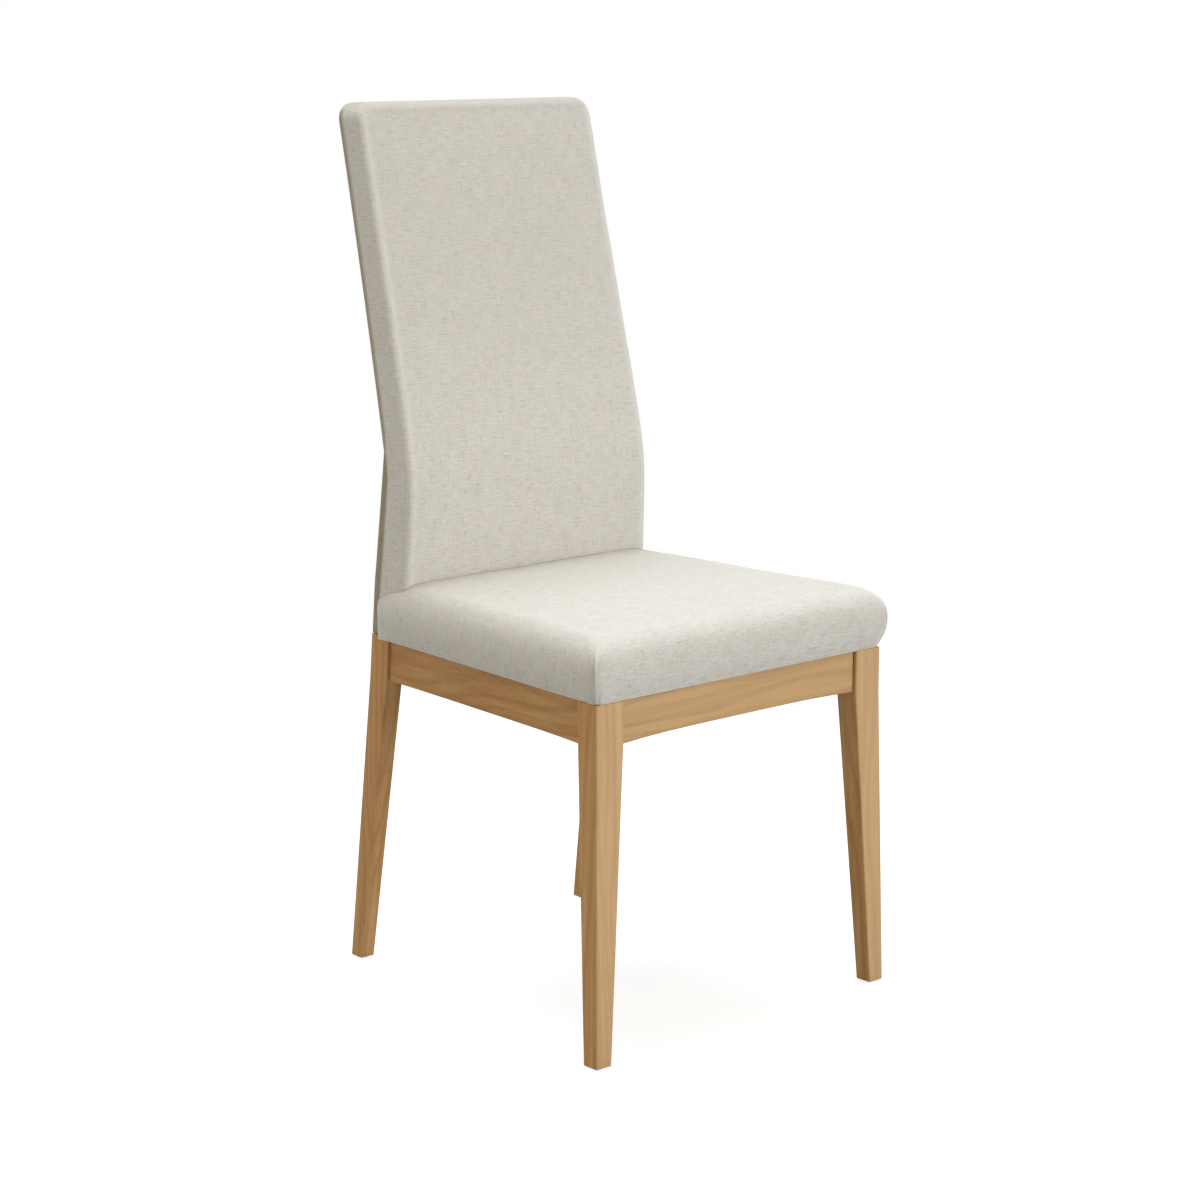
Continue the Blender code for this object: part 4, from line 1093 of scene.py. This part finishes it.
def back_pieces(rooms):
    """The cover and pad of the back, cut to the seat and to the posts."""
    cover = loft("back_cover_cloth", back_rings(START_INSET, BACK_FOOT, BACK_TOP + BACK_STUFFED, fine=True))
    swell(cover, back_held, back_freedom)
    unevenness(cover, *BACK_WAVES, back_freedom)
    inner = loft("back_hollow", back_rings(WADDING, BACK_FOOT - SHAFT_SPARE, BACK_TOP))
    opening = back_slot(lambda z: back_half(z) - FLAP_WIDTH, middle_depth, POST_TOP)
    relief = back_slot(lambda z: post_outer(z) + 3 * GAP, middle_depth, POST_BEND_Z)
    carve(cover, inner, opening, relief, post_room(1), post_room(-1), rooms[0])
    largest_body(cover)
    lay_weave(cover, back_chart)
    mark(cover, "fold", front_painted_highlight)
    mark(cover, "tuck", painted_rear_shade_share)
    mark(cover, "upper", painted_upper_shade)
    dress(cover, TWEED, "back_cover")

    pad = loft("back_foam_pad", back_rings(WADDING + GAP, BACK_BOTTOM, BACK_TOP))
    room = back_slot(lambda z: post_outer(z) + GAP, lambda z: post_front(z) - 2 * GAP - BACK_BOARD_THICKNESS,
                     POST_TOP + GAP)
    carve(pad, room, rooms[1])
    largest_body(pad)
    dress(pad, FOAM, "back_foam")


def outside_half(z):
    share = min(max((z - POST_BEND_Z) / OUTSIDE_NARROWING + 0.5, 0.0), 1.0)
    return back_half(z) - OUTSIDE_INSET - (OUTSIDE_UPPER_INSET - OUTSIDE_INSET) * share


def outside_plan(z, depth):
    """Half of the outline of the outside back at a height, from its front tip to the middle of its rear."""
    half = outside_half(z)
    tip = (cushion_rear(z) if z > SEAT_BELLY_Z else SEAT_END) + GAP
    rear = outside_face(z) + GAP + (OUTSIDE_BOARD + CLOTH) * depth
    round_off = OUTSIDE_CORNER * depth
    sides, turns, across = 3, 5, 12
    points = [(half, tip + (rear - round_off - tip) * k / sides) for k in range(sides + 1)]
    for k in range(1, turns + 1):
        angle = pi / 2 * k / turns
        points.append((half - round_off * (1 - cos(angle)), rear - round_off * (1 - sin(angle))))
    points += [((half - round_off) * (1 - k / across), rear) for k in range(1, across + 1)]
    return points


def thicken(cloth, outwards, thickness, offset):
    """Turn a sheet's faces outwards, give it its thickness, and return the area that it had as a sheet."""
    if sum(face.normal.dot(outwards) * face.area for face in cloth.data.polygons) < 0:
        cloth.data.flip_normals()
    area = sum(face.area for face in cloth.data.polygons)
    wall = cloth.modifiers.new("wall", "SOLIDIFY")
    wall.thickness = thickness
    wall.offset = offset
    settle(cloth)
    return area


def outside_chart(x, y, z, normal):
    depth = copysign(abs(normal.x) > SIDE_FACING, x) * (y - SEAT_REAR)
    return x + depth, z * OUTSIDE_SLANT


def fold_rows(edge, reach, count=4):
    """Heights and depths of the cloth as it turns in past an edge."""
    rows = []
    for k in range(1, count + 1):
        angle = pi / 2 * k / count
        depth = cos(angle) * (1 - OUTSIDE_FOLD_DEPTH) + OUTSIDE_FOLD_DEPTH
        rows.append((edge + reach * sin(angle), depth))
    return rows


def outside_cloth():
    """Cloth drawn over the outside board, folded in at its top and foot and returned along its sides."""
    rows = fold_rows(OUTSIDE_BOTTOM, -OUTSIDE_FOLD)[::-1]
    rows += [(z, 1.0) for z in heights(OUTSIDE_BOTTOM, OUTSIDE_TOP, 76)]
    rows += fold_rows(OUTSIDE_TOP, GAP + CLOTH)
    rings = []
    for z, depth in rows:
        right = outside_plan(z, depth)
        left = [(-x, y) for x, y in reversed(right[:-1])]
        rings.append([(x, y, z) for x, y in right + left])
    cloth = loft("outside_back_cloth", rings, closed_ring=False, caps=False)
    places = positions(cloth.data)
    for i, (x, y, z) in enumerate(places):
        inward = 1 - (x / back_half(z)) ** 2
        if y > outside_face(z) + OUTSIDE_BOARD:
            wave = noise.noise(Vector((x, y, z)) / OUTSIDE_WAVE_SIZE)
            places[i, 1] += OUTSIDE_CROWN * inward * (1 + OUTSIDE_WAVE * wave)
    set_positions(cloth.data, places)
    area = thicken(cloth, Vector((0, 1, 0)), CLOTH, -1)
    lay_weave(cloth, outside_chart)
    dress(cloth, TWEED, "outside_back_cover", angle=60)
    # Painted shade: the sides of the outside cloth below the bend take the darker copy of the tweed.
    cloth.data.materials.append(TWEED_PAINTED_SHADE)
    for face in cloth.data.polygons:
        face.material_index = 1 if abs(face.normal.x) > SHADED_FACING and face.center.z < POST_BEND_Z else 0
    width = 2 * back_half(OUTSIDE_BOTTOM)
    length = area / width


def dust_cloth():
    """Thin cloth tacked under the seat board, hanging a little between the aprons."""
    top = BOARD_BOTTOM - 2 * GAP
    inset = SEAT_HEM + 2 * GAP
    front, rear = FRAME_FRONT_Y + inset, SEAT_REAR - SEAT_BULGE - inset
    across, deep = 56, 52
    rings = []
    for j in range(deep + 1):
        y = front + (rear - front) * j / deep
        half = side_line(y) - inset
        along = 2 * j / deep - 1
        row = []
        for i in range(across + 1):
            share = 2 * i / across - 1
            hang = (1 - share ** 4) * (1 - along ** 4)
            wave = noise.noise(Vector((share * DUST_WAVES, along * DUST_WAVES, 0.3)))
            ripple = DUST_RIPPLE * wave - DUST_RIPPLE
            pull = (DUST_PULL * sin(share * DUST_PLEATS) * (along ** 8)
                    + DUST_PULL * sin(along * DUST_PLEATS) * (share ** 8))
            row.append((share * half, y, top - DUST_HANG * hang + (ripple + pull) * hang * 2))
        rings.append(row)
    cloth = loft("dust_cloth", rings, closed_ring=False, caps=False)
    area = thicken(cloth, Vector((0, 0, -1)), DUST_THICKNESS, 1)
    lay_weave(cloth, lambda x, y, z, normal: (x, y))
    dress(cloth, SPUN, "dust_cover")
    width = 2 * (side_line(front) - inset)
    length = rear - front
    min(area, width * length)


# Stage

CAMERA_TURN = 0.72905
CAMERA_TILT = 0.20256
CAMERA_PLACE = (-2.2256, -2.4966, 1.1494)
CAMERA_LENS = 85.65          # millimetres, as is the width of its sensor
CAMERA_SENSOR = 36.0
CAMERA_RANGE = 60.0
FLOOR_SIZE = 9.0
FLOOR_CURVE = 2.5            # radius of the curve from the floor to the backdrop
CURVE_ANGLES = (0.3, 0.6, 0.9, 1.2, 1.57)
FLOOR_SHARE = 0.35
FLOOR_GLOW = 0.78
WHITE = (1.0, 1.0, 1.0)
WHITE_FROM = 0.9             # the floor fades to white between these distances from the chair
WHITE_TO = 2.2
AMBIENT = (0.692, 0.640, 0.555)
LAMP_DISTANCE = 4
# Name, direction, spread, power and colour of each lamp
LAMPS = (
    ("key", (0.50, -0.80, 0.20), 0.75, 1.50, (0.95, 1.0, 1.07)),
    ("overhead", (0.10, 0.25, 0.96), 0.70, 2.30, (0.93, 1.0, 1.10)),
    ("fill", (-0.9, -0.3, 0.45), 1.00, 0.115, (1.0, 0.93, 0.80)),
)


def white_paper():
    """Paper that takes the chair's shadow, and that the camera sees fade to white away from it."""
    f = Finish("white_paper")
    matt = f.node("BsdfDiffuse", {}, {"Color": (FLOOR_SHARE,) * 3})
    glow = f.node("Emission", {}, {"Color": WHITE, "Strength": FLOOR_GLOW})
    near = f.node("AddShader", {}, {0: matt, 1: glow})
    reach = f.node("VectorMath", {"operation": "LENGTH"}, {0: f.place()}, "Value")
    white = f.node("Emission", {}, {"Color": WHITE})
    shown = f.node("MixShader", {}, {0: reach.over(WHITE_FROM, WHITE_TO), 1: near, 2: white})
    seen = f.node("LightPath", out="Is Camera Ray")
    surface = f.node("MixShader", {}, {0: seen, 1: matt, 2: shown})
    f.tree.nodes.remove(f.shader)
    f.feed(f.tree.nodes["Material Output"].inputs["Surface"], surface)
    return f.material


def studio():
    """A paper floor that curves up behind, an even light all round and three lamps."""
    bend_start = FLOOR_SIZE * 0.5
    line = [(-FLOOR_SIZE, 0.0), (bend_start, 0.0)]
    line += [(bend_start + FLOOR_CURVE * sin(a), FLOOR_CURVE * (1 - cos(a))) for a in CURVE_ANGLES]
    line.append((bend_start + FLOOR_CURVE, FLOOR_SIZE))
    rings = [[(-2 * FLOOR_SIZE, y, z), (2 * FLOOR_SIZE, y, z)] for y, z in line]
    floor = loft("floor", rings, closed_ring=False, caps=False)
    floor.data.transform(Matrix.Rotation(-CAMERA_TURN, 4, "Z"))
    floor.data.shade_smooth()
    floor.data.materials.append(white_paper())

    world = Finish("studio", "worlds", "Background", Strength=1.0)
    world.paint("Color", world.mix(world.node("LightPath", out="Is Camera Ray"), AMBIENT, WHITE))
    bpy.context.scene.world = world.material

    for name, direction, spread, power, colour in LAMPS:
        lamp = bpy.data.lights.new(name, "SUN")
        lamp.angle = spread
        lamp.energy = power
        lamp.color = colour
        made = new_object(name, lamp)
        aim = Vector(direction).normalized()
        made.location = aim * LAMP_DISTANCE
        made.rotation_mode = "QUATERNION"
        made.rotation_quaternion = aim.to_track_quat("Z", "Y")


def camera():
    made = bpy.data.cameras.new("camera")
    made.lens = CAMERA_LENS
    made.sensor_width = CAMERA_SENSOR
    made.clip_end = CAMERA_RANGE
    holder = new_object("camera", made)
    level = cos(CAMERA_TILT)
    look = Vector((sin(CAMERA_TURN) * level, cos(CAMERA_TURN) * level, -sin(CAMERA_TILT)))
    holder.location = CAMERA_PLACE
    holder.rotation_mode = "QUATERNION"
    holder.rotation_quaternion = look.to_track_quat("-Z", "Y")
    bpy.context.scene.camera = holder
    bpy.context.scene.view_settings.view_transform = "Standard"


camera()
studio()
finish_nodes()
back_pieces(seat_pieces())
outside_cloth()
dust_cloth()
